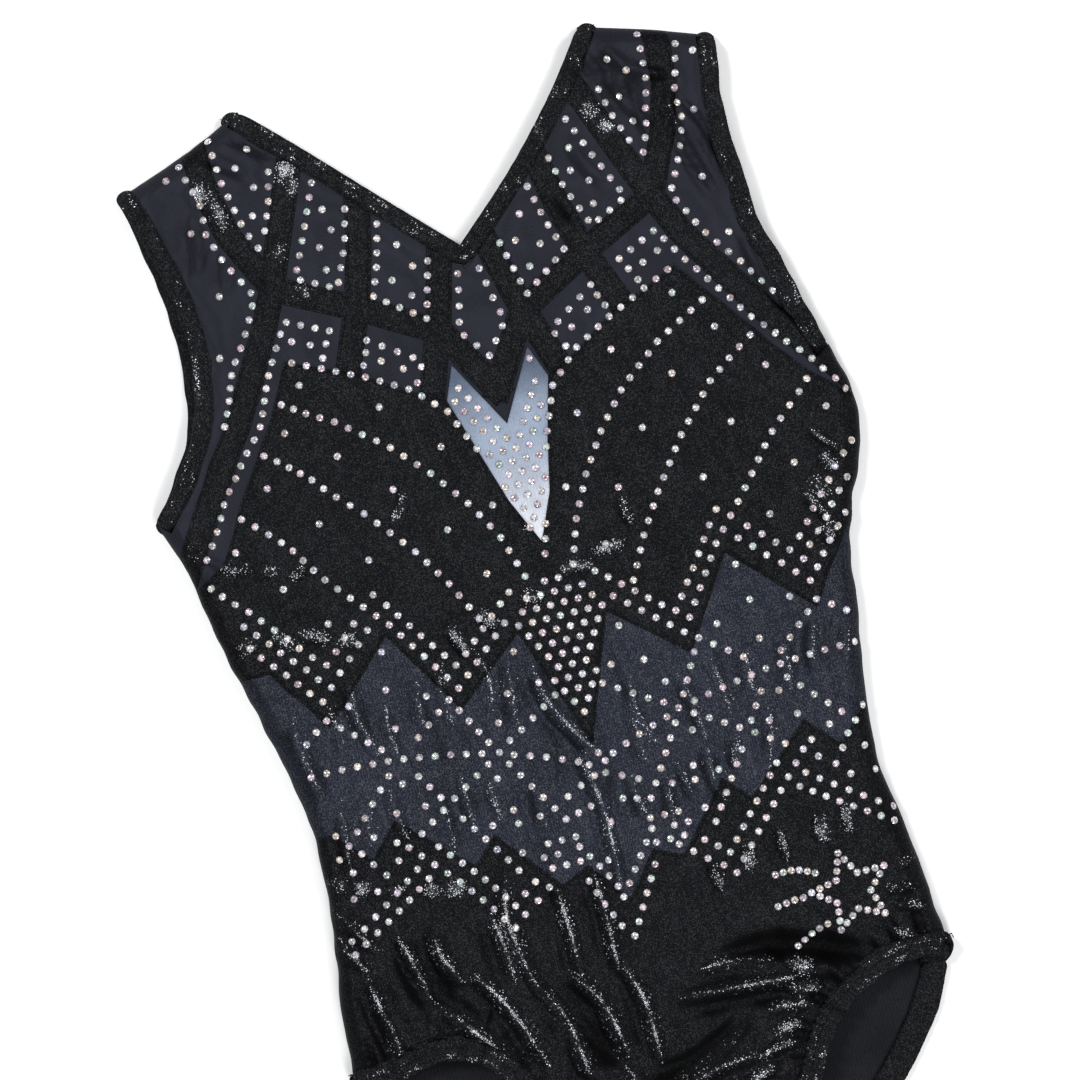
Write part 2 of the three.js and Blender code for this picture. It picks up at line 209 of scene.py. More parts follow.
class LeotardSizes(bpy.types.PropertyGroup):
    """The sizes a maker would change."""

    cloth: FloatProperty(
        name="Cloth", description="Thickness of a panel's cloth", default=0.00055, unit="LENGTH")
    front_height: FloatProperty(
        name="Front height", description="Height of the front's face over the ground",
        default=0.0096, unit="LENGTH")
    joined_height: FloatProperty(
        name="Joined height", description="Height of the front's face where it is sewn to the back",
        default=0.0036, unit="LENGTH")
    roll: FloatProperty(
        name="Roll", description="Width over which the front rolls down to a side seam",
        default=0.0075, unit="LENGTH")
    droop: FloatProperty(
        name="Droop", description="Drop of the front at the neck, the arms and the legs",
        default=0.0022, unit="LENGTH")
    seam_dip: FloatProperty(
        name="Seam dip", description="Depth of the groove at a sewn edge", default=0.00022, unit="LENGTH")
    fold_scale: FloatProperty(
        name="Folds", description="How strongly the cloth is creased", default=1.0, min=0, max=2)
    step: FloatProperty(
        name="Mesh step", description="Distance between a front panel's points",
        default=0.0015, unit="LENGTH")
    binding: FloatProperty(
        name="Binding", description="Width of the neck and arm bindings", default=0.0077, unit="LENGTH")
    hem: FloatProperty(name="Hem", description="Width of the leg hems", default=0.0098, unit="LENGTH")
    fold_thickness: FloatProperty(
        name="Binding thickness", description="Half the thickness of a folded binding",
        default=0.0009, unit="LENGTH")
    stitch: FloatProperty(
        name="Stitch", description="Length of one stitch", default=0.0026, unit="LENGTH")
    thread: FloatProperty(
        name="Thread", description="Radius of the sewing thread", default=0.00018, unit="LENGTH")
    stone: FloatProperty(
        name="Rhinestone", description="Diameter of a rhinestone", default=0.0030, unit="LENGTH")
    seed: IntProperty(name="Seed", description="Seed of the small irregularities", default=7)


def colour_property(name, words, value):
    return FloatVectorProperty(
        name=name, description=words, subtype="COLOR", size=3, min=0, max=1, default=value)


class LeotardColours(bpy.types.PropertyGroup):
    """The colours a maker would change, as linear values."""

    black: colour_property("Black", "Black foil jersey", (0.0047, 0.0050, 0.0060))
    slate: colour_property("Slate", "Yoke mesh", (0.0124, 0.0133, 0.0196))
    navy: colour_property("Navy", "Midriff foil jersey", (0.0140, 0.0162, 0.0252))
    ombre_top: colour_property("Ombre top", "Inset at its two points", (0.048, 0.067, 0.105))
    ombre_middle: colour_property("Ombre middle", "Inset under its notch", (0.215, 0.26, 0.34))
    ombre_tip: colour_property("Ombre tip", "Inset at its lower tip", (0.56, 0.585, 0.64))
    lining: colour_property("Lining", "Inside of the cloth", (0.0085, 0.0090, 0.0112))
    elastic: colour_property("Elastic", "Elastic tape", (0.006, 0.006, 0.007))
    label: colour_property("Label", "Label tape", (0.62, 0.62, 0.60))
    thread: colour_property("Thread", "Sewing thread", (0.0050, 0.0050, 0.0060))
    crystal: colour_property("Crystal", "Rhinestones", (0.92, 0.89, 0.91))
    floor: colour_property("Floor", "Ground", (0.90, 0.90, 0.90))


# ---------------------------------------------------------------- lines and outlines


def lean(y):
    """How far the pattern's centre line stands to the left at a height."""
    down = -np.asarray(y, float)
    return 0.7 + 2.3 * step_between(down, 50, 110) - 2.6 * step_between(down, 225, 265)


def smooth(points, per_span=8):
    """A smooth curve through the points, as the CAD model draws it."""
    p = np.asarray(points, float)
    out = []
    for i in range(len(p) - 1):
        a, b = p[max(i - 1, 0)], p[i]
        c, d = p[i + 1], p[min(i + 2, len(p) - 1)]
        for t in np.arange(per_span) / per_span:
            u, v = (c - a) / 2, (d - b) / 2
            out.append((2 * b - 2 * c + u + v) * t**3 + (3 * c - 3 * b - 2 * u - v) * t**2 + u * t + b)
    return np.array(out + [p[-1]])


def step_between(values, low, high):
    """0 under low, 1 over high, and a smooth step in between."""
    t = np.clip((np.asarray(values) - low) / (high - low), 0, 1)
    return t * t * (3 - 2 * t)


def unit(v):
    return v / np.maximum(np.linalg.norm(v, axis=-1, keepdims=True), 1e-12)


def distance_along(path):
    """How far along a path each of its points lies."""
    return np.concatenate([[0], np.cumsum(np.linalg.norm(np.diff(path, axis=0), axis=1))])


def along(path, spacing):
    """Points at an even spacing along a path, its ends included."""
    path = np.asarray(path, float)
    s = distance_along(path)
    n = max(1, round(s[-1] / spacing))
    at = np.linspace(0, s[-1], n + 1)
    return np.stack([np.interp(at, s, path[:, k]) for k in range(path.shape[1])], axis=1)


def nearest(points, path, closed=False):
    """The distance to a path, the distance along it of the nearest point, and the side it is on."""
    a = np.asarray(path, float)
    b = np.roll(a, -1, axis=0) if closed else a[1:]
    a = a if closed else a[:-1]
    ab = b - a
    length = np.maximum(np.hypot(ab[:, 0], ab[:, 1]), 1e-9)
    start = np.concatenate([[0], np.cumsum(length)[:-1]])
    x, y = np.array(points[:, 0], float), np.array(points[:, 1], float)
    best, where, side = (np.full(len(x), 1e18), np.zeros(len(x)), np.zeros(len(x)))
    for (ax, ay), (dx, dy), reach, begun in zip(a, ab, length, start):
        px, py = x - ax, y - ay
        t = np.clip((px * dx + py * dy) / reach**2, 0, 1)
        d = (px - t * dx) ** 2 + (py - t * dy) ** 2
        closer = d < best
        best[closer] = d[closer]
        where[closer] = begun + t[closer] * reach
        side[closer] = px[closer] * dy - py[closer] * dx
    return np.sqrt(best), where, np.sign(side)


def distance_to(points, paths, closed=False):
    """The distance from each point to the nearest of several paths."""
    return np.min([nearest(points, path, closed)[0] for path in paths], axis=0)


def inside(points, loops):
    """Whether each point lies inside the loops, holes left out."""
    odd = np.zeros(len(points), bool)
    x, y = points[:, 0], points[:, 1]
    for loop in loops:
        for (x0, y0), (x1, y1) in zip(loop, np.roll(loop, -1, axis=0)):
            if y0 == y1:
                continue
            crosses = (y0 > y) != (y1 > y)
            odd ^= crosses & (x < (x1 - x0) * (y - y0) / (y1 - y0) + x0)
    return odd


def outline(node):
    """The loops round a flat CAD piece's upper face, in the pattern's millimetres."""
    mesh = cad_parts[node].data
    key = [(round(v.co.x, 6), round(v.co.y, 6)) for v in mesh.vertices]
    top = max(v.co.z for v in mesh.vertices) - 1e-5
    after, edges = {}, set()
    for polygon in mesh.polygons:
        if polygon.normal.z > 0.9 and all(mesh.vertices[i].co.z > top for i in polygon.vertices):
            corners = [key[i] for i in polygon.vertices]
            edges.update(zip(corners, corners[1:] + corners[:1]))
    for a, b in edges:
        if (b, a) not in edges:
            after.setdefault(a, []).append(b)
    loops = []
    for first in sorted(after):
        while after[first]:
            loop, here = [], first
            while after.get(here):
                loop.append(here)
                here = after[here].pop()
            loops.append(np.array([((x - NECK_X) / MM, (y - NECK_Y) / MM) for x, y in loop]))
    if not loops:
        raise RuntimeError(f"{node} has no flat upper face to cut a panel to")
    return loops


def area_of(loops):
    """The area inside the loops, in square metres."""
    total = 0.0
    for loop in loops:
        x, y = loop[:, 0], loop[:, 1]
        total += float(np.sum(x * np.roll(y, -1) - np.roll(x, -1) * y)) / 2
    return abs(total) * MM * MM


PATHS = {side: {name: smooth(points) for name, points in edges.items()} for side, edges in EDGES.items()}
CLOSED_EDGES = [PATHS[side][name] for side in PATHS for name in ("side", "shoulder")]
CLOSED_EDGES.append(CROTCH_EDGE)
OPEN_EDGES = {
    layer: [PATHS[side][kind + layer] for side in PATHS for kind in ("neck_", "arm_", "leg_")]
    for layer in ("front", "back")
}


def through(side_path, other_path):
    """One path, up the first from its end and down the second."""
    return np.concatenate([side_path[:0:-1], other_path])


# ---------------------------------------------------------------- the lie of the cloth


def rumple(points, scale, seed):
    """Gentle irregular waves between -1 and 1 about as long as scale."""
    draw = random.Random(seed)
    total = np.zeros(len(points))
    for _ in range(7):
        angle, phase = draw.uniform(0, math.tau), draw.uniform(0, math.tau)
        length = scale * draw.uniform(0.65, 1.6)
        across = points[:, 0] * math.cos(angle) + points[:, 1] * math.sin(angle)
        total += np.sin(across * math.tau / length + phase)
    return total / 4


def fold_lines(seed):
    """The line of each fold, with its rise, its width and its shine, drawn out of the sheaves."""
    draw = random.Random(seed)
    lines = []
    for sheaf in SHEAVES:
        first, last = np.array(sheaf["first"], float), np.array(sheaf["last"], float)
        gaps = max(sheaf["count"] - 1, 1)
        gap = float(np.linalg.norm(last - first)) / gaps
        for k in range(sheaf["count"]):
            share = k / gaps
            middle = first + (last - first) * share
            low, high = sheaf["heading"]
            heading = math.radians(low + (high - low) * share + draw.uniform(-9, 9))
            reach = sheaf["length"] * draw.uniform(0.6, 1.3) / 2
            ahead = np.array([math.cos(heading), math.sin(heading)])
            middle += ahead * draw.uniform(-0.14, 0.14) * sheaf["length"] * min(1.0, gap / 6)
            middle += (draw.uniform(-0.2, 0.2) * gap, 0)
            aside = np.array([-ahead[1], ahead[0]]) * reach * draw.uniform(-0.24, 0.24)
            line = [middle - reach * ahead, middle - 0.3 * reach * ahead + aside,
                    middle + 0.4 * reach * ahead + 0.7 * aside, middle + reach * ahead]
            rise = sheaf["rise"] * draw.uniform(0.8, 1.15)
            lines.append((line, rise, sheaf["width"] * draw.uniform(0.85, 1.2), sheaf["shine"]))
    return lines


def folded(points, scale, seed):
    """The rise of the folds at each point, the painted highlight where the foil glints, the painted shade
    in its hollows, and how far it is from the nearest fold's ridge, from -1 to 1."""
    rise, glint, ridge = np.zeros(len(points)), np.zeros(len(points)), np.ones(len(points))
    for line, height, width, shine in fold_lines(seed):
        path = smooth(line, 5)
        low, high = path.min(axis=0) - 4 * width, path.max(axis=0) + 4 * width
        near = np.all((points > low) & (points < high), axis=1)
        if not near.any():
            continue
        d, s, side = nearest(points[near], path)
        total = float(np.linalg.norm(np.diff(path, axis=0), axis=1).sum())
        fade = np.clip(np.minimum(s, total - s) / (0.36 * total) + 0.06, 0, 1)
        fade = fade * fade * (3 - 2 * fade)
        crest = np.exp(-((d / width) ** 2)) * fade
        dip = np.exp(-(((d * side - 1.9 * width) / (1.1 * width)) ** 2)) * fade
        rise[near] += height * (crest - 0.55 * dip) * scale
        # painted sparkle highlight along the fold, a little to one side of its crest
        off = d * side + 0.2 * width
        veil = shine * np.exp(-((off / (1.3 * width)) ** 2)) * fade
        nearest_yet = veil > glint[near]
        here = np.flatnonzero(near)[nearest_yet]
        thin = max(0.10, float(step_between(total, 8, 30)))
        ridge[here] = np.clip(off[nearest_yet] * thin / RIDGE_REACH, -1, 1)
        glint[near] = np.maximum(glint[near], veil)
    # painted shade in the hollows between the folds
    hollow_shade = 0.8 * step_between(-rise, 0.4, 2.6)
    return rise, glint, hollow_shade, ridge


def gathers(points, layer):
    """The small puckers that the leg elastics pull into the cloth."""
    pucker = np.zeros(len(points))
    for side in PATHS:
        d, s, _ = nearest(points, PATHS[side]["leg_" + layer])
        wave = np.sin(s * math.tau / 7.1 + 1.9 * np.sin(s / 9)) + 0.45 * np.sin(s * math.tau / 3.9 + 1)
        reach = 15 + 5 * np.sin(s / 6.5)
        pucker += wave * np.exp(-((d / reach) ** 1.5))
    return pucker


def front_face(points, sizes):
    """The height of the front's upper face in millimetres at each pattern point, and its glint, a painted
    highlight, which is under 0 where the cloth lies in a hollow and there stands for painted shade."""
    points = np.asarray(points, float)
    top, joined = sizes.front_height / MM, sizes.joined_height / MM
    shut = distance_to(points, CLOSED_EDGES)
    t = np.clip(shut / (sizes.roll / MM), 0, 1)
    roll = np.sqrt(1 - (1 - t) ** 2)
    mouth = distance_to(points, OPEN_EDGES["front"])
    droop = sizes.droop / MM * np.exp(-mouth / 13)
    rise, glint, hollow_shade, _ = folded(points, sizes.fold_scale, sizes.seed)
    soft = 0.55 * rumple(points, 62, 3) + 0.20 * rumple(points, 19, 5) + 0.07 * rumple(points, 8, 9)
    pulled = points * (1.0, 0.22)  # long, thin waves that run down the body
    middle = np.exp(-(((points[:, 1] + 205) / 75) ** 4))
    soft += (0.12 + 0.40 * middle) * rumple(pulled, 13, 17) + 0.08 * rumple(pulled, 5.5, 19)
    pucker = gathers(points, "front")
    body = top - droop + roll * (soft + rise + pucker)
    # painted highlight on the crests of the puckers, painted shade in their troughs
    glint = np.maximum(glint, 0.55 * step_between(pucker, 0.7, 1.2))
    hollow_shade = np.maximum(hollow_shade, 0.8 * step_between(-pucker, 0.35, 1.1))
    return np.maximum(joined + (body - joined) * roll, 1.4), (glint - hollow_shade * (1 - glint)) * t


def back_face(points, sizes):
    """The height of the back's upper face, in millimetres, at each pattern point."""
    points = np.asarray(points, float)
    shut = distance_to(points, CLOSED_EDGES)
    lift = 0.9 * np.exp(-shut / 4.5)
    mouth = distance_to(points, OPEN_EDGES["back"])
    raised = 0.75 * np.exp(-((mouth / 9) ** 2))
    soft = 0.14 * rumple(points, 48, 21) + 0.10 + 0.35 * np.abs(gathers(points, "back"))
    return np.clip(0.75 + lift + raised + soft, 0.66, 4), np.zeros(len(points))


def strayed(points):
    """The pattern points, moved a little sideways towards the sides, where the cloth lies unevenly."""
    x, y = points[:, 0], points[:, 1]
    outward = step_between(np.abs(x), 60, 118)
    along_side = np.column_stack([np.where(x > 0, 400.0, 0.0), y])
    return x + outward * (0.75 * rumple(along_side, 34, 51) + 0.3 * rumple(along_side, 11, 53)), y


def to_row(points, heights):
    """Pattern points and heights in millimetres, as places in metres in the CAD model's frame."""
    x, y = strayed(points)
    return np.stack([NECK_X + x * MM, NECK_Y + y * MM, np.asarray(heights) * MM], axis=1)


# ---------------------------------------------------------------- materials


def node(tree, kind, **inputs):
    """A shader node with its named inputs set, or linked where the value is another node's socket."""
    made = tree.nodes.new(kind)
    for name, value in inputs.items():
        put(tree, made.inputs[name.replace("_", " ")], value)
    return made


def put(tree, socket, value):
    """Sets a socket to a value, or links another node's socket to it."""
    if isinstance(value, bpy.types.NodeSocket):
        tree.links.new(value, socket)
    else:
        socket.default_value = value


def maths(tree, operation, a, b=0.5, c=0.5):
    """The output of a Math node."""
    made = tree.nodes.new("ShaderNodeMath")
    made.operation = operation
    for socket, value in zip(made.inputs, (a, b, c)):
        put(tree, socket, value)
    return made.outputs[0]


def ramp(tree, value, low, high, to_low=0.0, to_high=1.0):
    """A value moved smoothly from one range to another."""
    made = tree.nodes.new("ShaderNodeMapRange")
    made.interpolation_type = "SMOOTHSTEP"
    for socket, number in zip(made.inputs, (value, low, high, to_low, to_high)):
        put(tree, socket, number)
    return made.outputs[0]


def blend(tree, share, a, b, how="MIX"):
    """The output of a colour Mix node."""
    made = tree.nodes.new("ShaderNodeMix")
    made.data_type, made.blend_type = "RGBA", how
    put(tree, made.inputs["Factor"], share)
    for name, value in (("A", a), ("B", b)):
        socket = [s for s in made.inputs if s.name == name and s.type == "RGBA"][0]
        put(tree, socket, (*value, 1) if isinstance(value, tuple) and len(value) == 3 else value)
    return [s for s in made.outputs if s.type == "RGBA"][0]


def marked(tree, name):
    """What a mesh attribute says at each point."""
    mark = tree.nodes.new("ShaderNodeAttribute")
    mark.attribute_name = name
    return mark.outputs["Fac"]


def group(name, inputs, outputs):
    """An empty shader node group with named inputs, given as numbers, and named outputs."""
    tree = bpy.data.node_groups.new(name, "ShaderNodeTree")
    for label, value in inputs.items():
        socket = tree.interface.new_socket(label, in_out="INPUT", socket_type="NodeSocketFloat")
        socket.default_value = value
    for label in outputs:
        tree.interface.new_socket(label, in_out="OUTPUT", socket_type="NodeSocketFloat")
    return tree, tree.nodes.new("NodeGroupInput").outputs, tree.nodes.new("NodeGroupOutput").inputs


def knit_group():
    """The grain of a fine jersey: rows of small stitches, uneven in tone."""
    name = "Knit grain"
    if name in bpy.data.node_groups:
        return bpy.data.node_groups[name]
    tree, given, out = group(name, {"Stitches per metre": 1900.0, "Unevenness": 0.5}, ["Height", "Tone"])
    place = node(tree, "ShaderNodeTexCoord").outputs["Object"]
    wales = tree.nodes.new("ShaderNodeTexWave")
    wales.bands_direction = "X"
    put(tree, wales.inputs["Vector"], place)
    put(tree, wales.inputs["Scale"], maths(tree, "MULTIPLY", given["Stitches per metre"], 0.16))
    wales.inputs["Distortion"].default_value = 2.2
    wales.inputs["Detail"].default_value = 1.0
    fine = node(tree, "ShaderNodeTexNoise", Vector=place, Scale=given["Stitches per metre"], Detail=2.0)
    broad = node(tree, "ShaderNodeTexNoise", Vector=place, Scale=55.0, Detail=3.0)
    grain = ramp(tree, fine.outputs["Fac"], 0.30, 0.70)
    ribs = maths(tree, "MULTIPLY_ADD", wales.outputs["Fac"], 0.4, maths(tree, "MULTIPLY", grain, 0.6))
    tree.links.new(ribs, out["Height"])
    patches = ramp(tree, broad.outputs["Fac"], 0.25, 0.75, 0.82, 1.16)
    swing = maths(tree, "MULTIPLY", maths(tree, "SUBTRACT", ribs, 0.5), given["Unevenness"])
    tone = maths(tree, "MULTIPLY", maths(tree, "ADD", 1.0, maths(tree, "MULTIPLY", swing, 2.0)), patches)
    tree.links.new(tone, out["Tone"])
    return tree


def sparkle_group():
    """Specks of foil print, faint on a flat face, and painted highlights along a crease that the glint
    attribute marks: specks lit bright and a painted sheen. Shade is painted shade on tilted or sunk cloth.
    """
    name = "Foil sparkle"
    if name in bpy.data.node_groups:
        return bpy.data.node_groups[name]
    tree, given, out = group(
        name, {"Specks per metre": 2300.0, "Flat": 0.03, "Crease": 0.9}, ["Specks", "Shade"])
    place = node(tree, "ShaderNodeTexCoord").outputs["Object"]
    facing = maths(tree, "SUBTRACT", 1.0, marked(tree, "painted_shade"))
    broad = node(tree, "ShaderNodeTexNoise", Vector=place, Scale=90.0, Detail=4.0)
    uneven = ramp(tree, broad.outputs["Fac"], 0.36, 0.60, 0.25, 1.0)
    away_from_ridge = maths(tree, "ABSOLUTE", marked(tree, "ridge"))
    line = ramp(tree, away_from_ridge, 0.01, 0.16, 1.0, 0.17)
    crease = maths(tree, "MULTIPLY", maths(tree, "MULTIPLY", marked(tree, "glint"), line), uneven)
    cells = node(
        tree, "ShaderNodeTexVoronoi", Vector=place, Scale=given["Specks per metre"], Randomness=0.7)
    shade = tree.nodes.new("ShaderNodeSeparateColor")
    tree.links.new(cells.outputs["Color"], shade.inputs[0])
    dot = ramp(tree, cells.outputs["Distance"], 0.32, 0.60, 1.0, 0.0)
    faint = maths(tree, "MULTIPLY", maths(tree, "POWER", shade.outputs[0], 2.0), given["Flat"])
    # the print's faint specks, dimmed by the painted shade
    faint = maths(tree, "MULTIPLY", faint, facing)
    # painted highlight: the specks that light up along a crease
    rare = maths(tree, "SUBTRACT", 1.0, maths(tree, "MULTIPLY", crease, given["Crease"]))
    painted_glints = ramp(tree, maths(tree, "SUBTRACT", shade.outputs[1], rare), -0.008, 0.07)
    strength = maths(tree, "MULTIPLY_ADD", shade.outputs[2], 0.65, 0.35)
    bright = maths(tree, "MULTIPLY", painted_glints, strength)
    dotted = maths(tree, "MULTIPLY", dot, maths(tree, "ADD", faint, bright))
    # painted sheen along a crease
    sheen = maths(tree, "MULTIPLY", maths(tree, "POWER", crease, 2.0), 0.07)
    lit = maths(tree, "ADD", dotted, sheen)
    tree.links.new(maths(tree, "MINIMUM", lit, 1.0), out["Specks"])
    # Shade: painted shade, darker where the cloth tilts or lies in a hollow
    tree.links.new(maths(tree, "MULTIPLY_ADD", facing, 0.82, 0.18), out["Shade"])
    return tree


def net_group():
    """The small holes of a stretch mesh."""
    name = "Net"
    if name in bpy.data.node_groups:
        return bpy.data.node_groups[name]
    tree, given, out = group(name, {"Holes per metre": 1500.0}, ["Height", "Tone"])
    place = node(tree, "ShaderNodeTexCoord").outputs["Object"]
    cells = node(tree, "ShaderNodeTexVoronoi", Vector=place, Scale=given["Holes per metre"], Randomness=0.25)
    yarn = ramp(tree, cells.outputs["Distance"], 0.15, 0.55)
    broad = node(tree, "ShaderNodeTexNoise", Vector=place, Scale=38.0, Detail=3.0)
    tree.links.new(yarn, out["Height"])
    patches = ramp(tree, broad.outputs["Fac"], 0.3, 0.7, 0.90, 1.10)
    holes = maths(tree, "MULTIPLY_ADD", yarn, 0.55, 0.68)
    tree.links.new(maths(tree, "MULTIPLY", holes, patches), out["Tone"])
    return tree


def effect(tree, made_group, **inputs):
    """A placed node group with its inputs set."""
    placed = tree.nodes.new("ShaderNodeGroup")
    placed.node_tree = made_group
    for name, value in inputs.items():
        put(tree, placed.inputs[name.replace("_", " ")], value)
    return placed.outputs


def new_material(name):
    """A material with its node tree and its Principled shader, or None for both where it exists."""
    found = bpy.data.materials.get(name)
    if found:
        return found, None, None
    material = bpy.data.materials.new(name)
    material.use_nodes = True
    tree = material.node_tree
    shader = [n for n in tree.nodes if n.type == "BSDF_PRINCIPLED"][0]
    return material, tree, shader


def toned(tree, colour, tone):
    """A colour, or a colour socket, multiplied by a tone."""
    tint = tree.nodes.new("ShaderNodeVectorMath")
    tint.operation = "SCALE"
    put(tree, tint.inputs[0], colour)
    put(tree, tint.inputs["Scale"], tone)
    return tint.outputs[0]


def bump(tree, shader, height, depth, strength):
    """Raises the surface by a height, in metres of depth."""
    made = node(tree, "ShaderNodeBump", Height=height, Distance=depth, Strength=strength)
    tree.links.new(made.outputs[0], shader.inputs["Normal"])


def foil_jersey(name, colour, flat, crease, rough):
    """Stretch jersey printed with a fine foil: dark and grainy, with painted highlights where its specks
    glint on creases and painted shade where the cloth tilts or lies in a hollow.
    """
    material, tree, shader = new_material(name)
    if tree is None:
        return material
    knit = effect(tree, knit_group(), Stitches_per_metre=1900.0, Unevenness=0.62)
    foil = effect(tree, sparkle_group(), Specks_per_metre=2300.0, Flat=flat, Crease=crease)
    # the knit's own tone, darkened by the painted shade
    tone = maths(tree, "MULTIPLY", knit["Tone"], foil["Shade"])
    cloth = toned(tree, tuple(colour), tone)
    tree.links.new(blend(tree, foil["Specks"], cloth, (0.88, 0.90, 0.95)), shader.inputs["Base Color"])
    tree.links.new(maths(tree, "MULTIPLY", foil["Specks"], 0.35), shader.inputs["Metallic"])
    tree.links.new(ramp(tree, foil["Specks"], 0.0, 0.6, rough, 0.25), shader.inputs["Roughness"])
    shader.inputs["Specular IOR Level"].default_value = 0.025
    bump(tree, shader, knit["Height"], 0.00012, 0.8)
    return material


def black_foil(colours):
    return foil_jersey("Black foil jersey", colours.black, 0.040, 0.95, 0.52)


def navy_foil(colours):
    return foil_jersey("Navy foil jersey", colours.navy, 0.080, 0.80, 0.55)


def mesh_net(name, colour):
    """Matt stretch mesh, darkened by painted shade where the cloth tilts or lies in a hollow."""
    material, tree, shader = new_material(name)
    if tree is None:
        return material
    net = effect(tree, net_group(), Holes_per_metre=1500.0)
    # painted shade where the cloth tilts or lies in a hollow
    shade = maths(tree, "MULTIPLY_ADD", marked(tree, "painted_shade"), -0.65, 1.0)
    tone = maths(tree, "MULTIPLY", net["Tone"], shade)
    tree.links.new(toned(tree, tuple(colour), tone), shader.inputs["Base Color"])
    shader.inputs["Roughness"].default_value = 0.72
    shader.inputs["Specular IOR Level"].default_value = 0.10
    bump(tree, shader, net["Height"], 0.00010, 0.7)
    return material


def slate_mesh(colours):
    return mesh_net("Slate mesh", colours.slate)


def dyed_knit(name, top, middle, tip, low, high):
    """A knit dyed from one colour at its top, through a second, to a third at its lower tip."""
    material, tree, shader = new_material(name)
    if tree is None:
        return material
    place = node(tree, "ShaderNodeTexCoord").outputs["Object"]
    split = node(tree, "ShaderNodeSeparateXYZ", Vector=place)
    cloudy = node(tree, "ShaderNodeTexNoise", Vector=place, Scale=140.0, Detail=3.0)
    drift = maths(tree, "MULTIPLY", maths(tree, "SUBTRACT", cloudy.outputs["Fac"], 0.5), 0.012)
    height = maths(tree, "ADD", split.outputs["Y"], drift)
    middle_y = low + 0.60 * (high - low)
    upper = blend(tree, ramp(tree, height, middle_y, high), tuple(middle), tuple(top))
    lower = blend(tree, ramp(tree, height, low, middle_y), tuple(tip), tuple(middle))
    dyed = blend(tree, maths(tree, "GREATER_THAN", height, middle_y), lower, upper)
    knit = effect(tree, knit_group(), Stitches_per_metre=1700.0, Unevenness=0.14)
    tree.links.new(toned(tree, dyed, knit["Tone"]), shader.inputs["Base Color"])
    shader.inputs["Roughness"].default_value = 0.6
    shader.inputs["Specular IOR Level"].default_value = 0.3
    bump(tree, shader, knit["Height"], 0.00010, 0.6)
    return material


def plain_knit(name, colour, rough=0.8, stitches=1500.0):
    """Plain matt knit or tape, for the inside of the leotard."""
    material, tree, shader = new_material(name)
    if tree is None:
        return material
    knit = effect(tree, knit_group(), Stitches_per_metre=stitches, Unevenness=0.35)
    tree.links.new(toned(tree, tuple(colour), knit["Tone"]), shader.inputs["Base Color"])
    shader.inputs["Roughness"].default_value = rough
    shader.inputs["Specular IOR Level"].default_value = 0.08
    bump(tree, shader, knit["Height"], 0.00015, 0.7)
    return material


def sewing_thread(colours):
    return plain_knit("Thread", colours.thread, 0.45, 6000.0)


def cut_crystal(name, colour):
    """Foil-backed crystal whose colour holds painted reflections: facets painted bright or dark, with a
    faint pink and green play.
    """
    material, tree, shader = new_material(name)
    if tree is None:
        return material
    mark = tree.nodes.new("ShaderNodeAttribute")
    mark.attribute_name = "facet"
    cut = blend(tree, 1.0, tuple(colour), mark.outputs["Color"], "MULTIPLY")
    tree.links.new(cut, shader.inputs["Base Color"])
    shader.inputs["Metallic"].default_value = 0.35
    shader.inputs["Roughness"].default_value = 0.22
    shader.inputs["Coat Weight"].default_value = 0.35
    shader.inputs["Coat Roughness"].default_value = 0.05
    return material


def ground(name, colour):
    """A plain matt ground."""
    material, tree, shader = new_material(name)
    if tree is None:
        return material
    shader.inputs["Base Color"].default_value = (*colour, 1)
    shader.inputs["Roughness"].default_value = 0.95
    shader.inputs["Specular IOR Level"].default_value = 0.1
    return material


# ---------------------------------------------------------------- making pieces


def new_piece(name, points, faces, material, nodes=(), flat_shaded=False):
    """A mesh object that rides on the leotard, stands for CAD nodes and takes the material it is given."""
    mesh = bpy.data.meshes.new(name)
    mesh.from_pydata([tuple(p) for p in points], [], [tuple(int(i) for i in f) for f in faces])
    mesh.validate()
    mesh.polygons.foreach_set("use_smooth", [not flat_shaded] * len(mesh.polygons))
    piece = bpy.data.objects.new(name, mesh)
    bpy.context.scene.collection.objects.link(piece)
    mesh.materials.append(material)
    if nodes:
        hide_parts(*nodes)
    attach(piece, "root")
    return piece


def mark_points(piece, name, values):
    layer = piece.data.attributes.new(name, "FLOAT", "POINT")
    layer.data.foreach_set("value", np.asarray(values, np.float32))


def thicken(piece, thickness, offset=-1.0):
    solid = piece.modifiers.new("Cloth", "SOLIDIFY")
    solid.thickness, solid.offset = thickness, offset
    solid.use_even_offset = False
    return solid


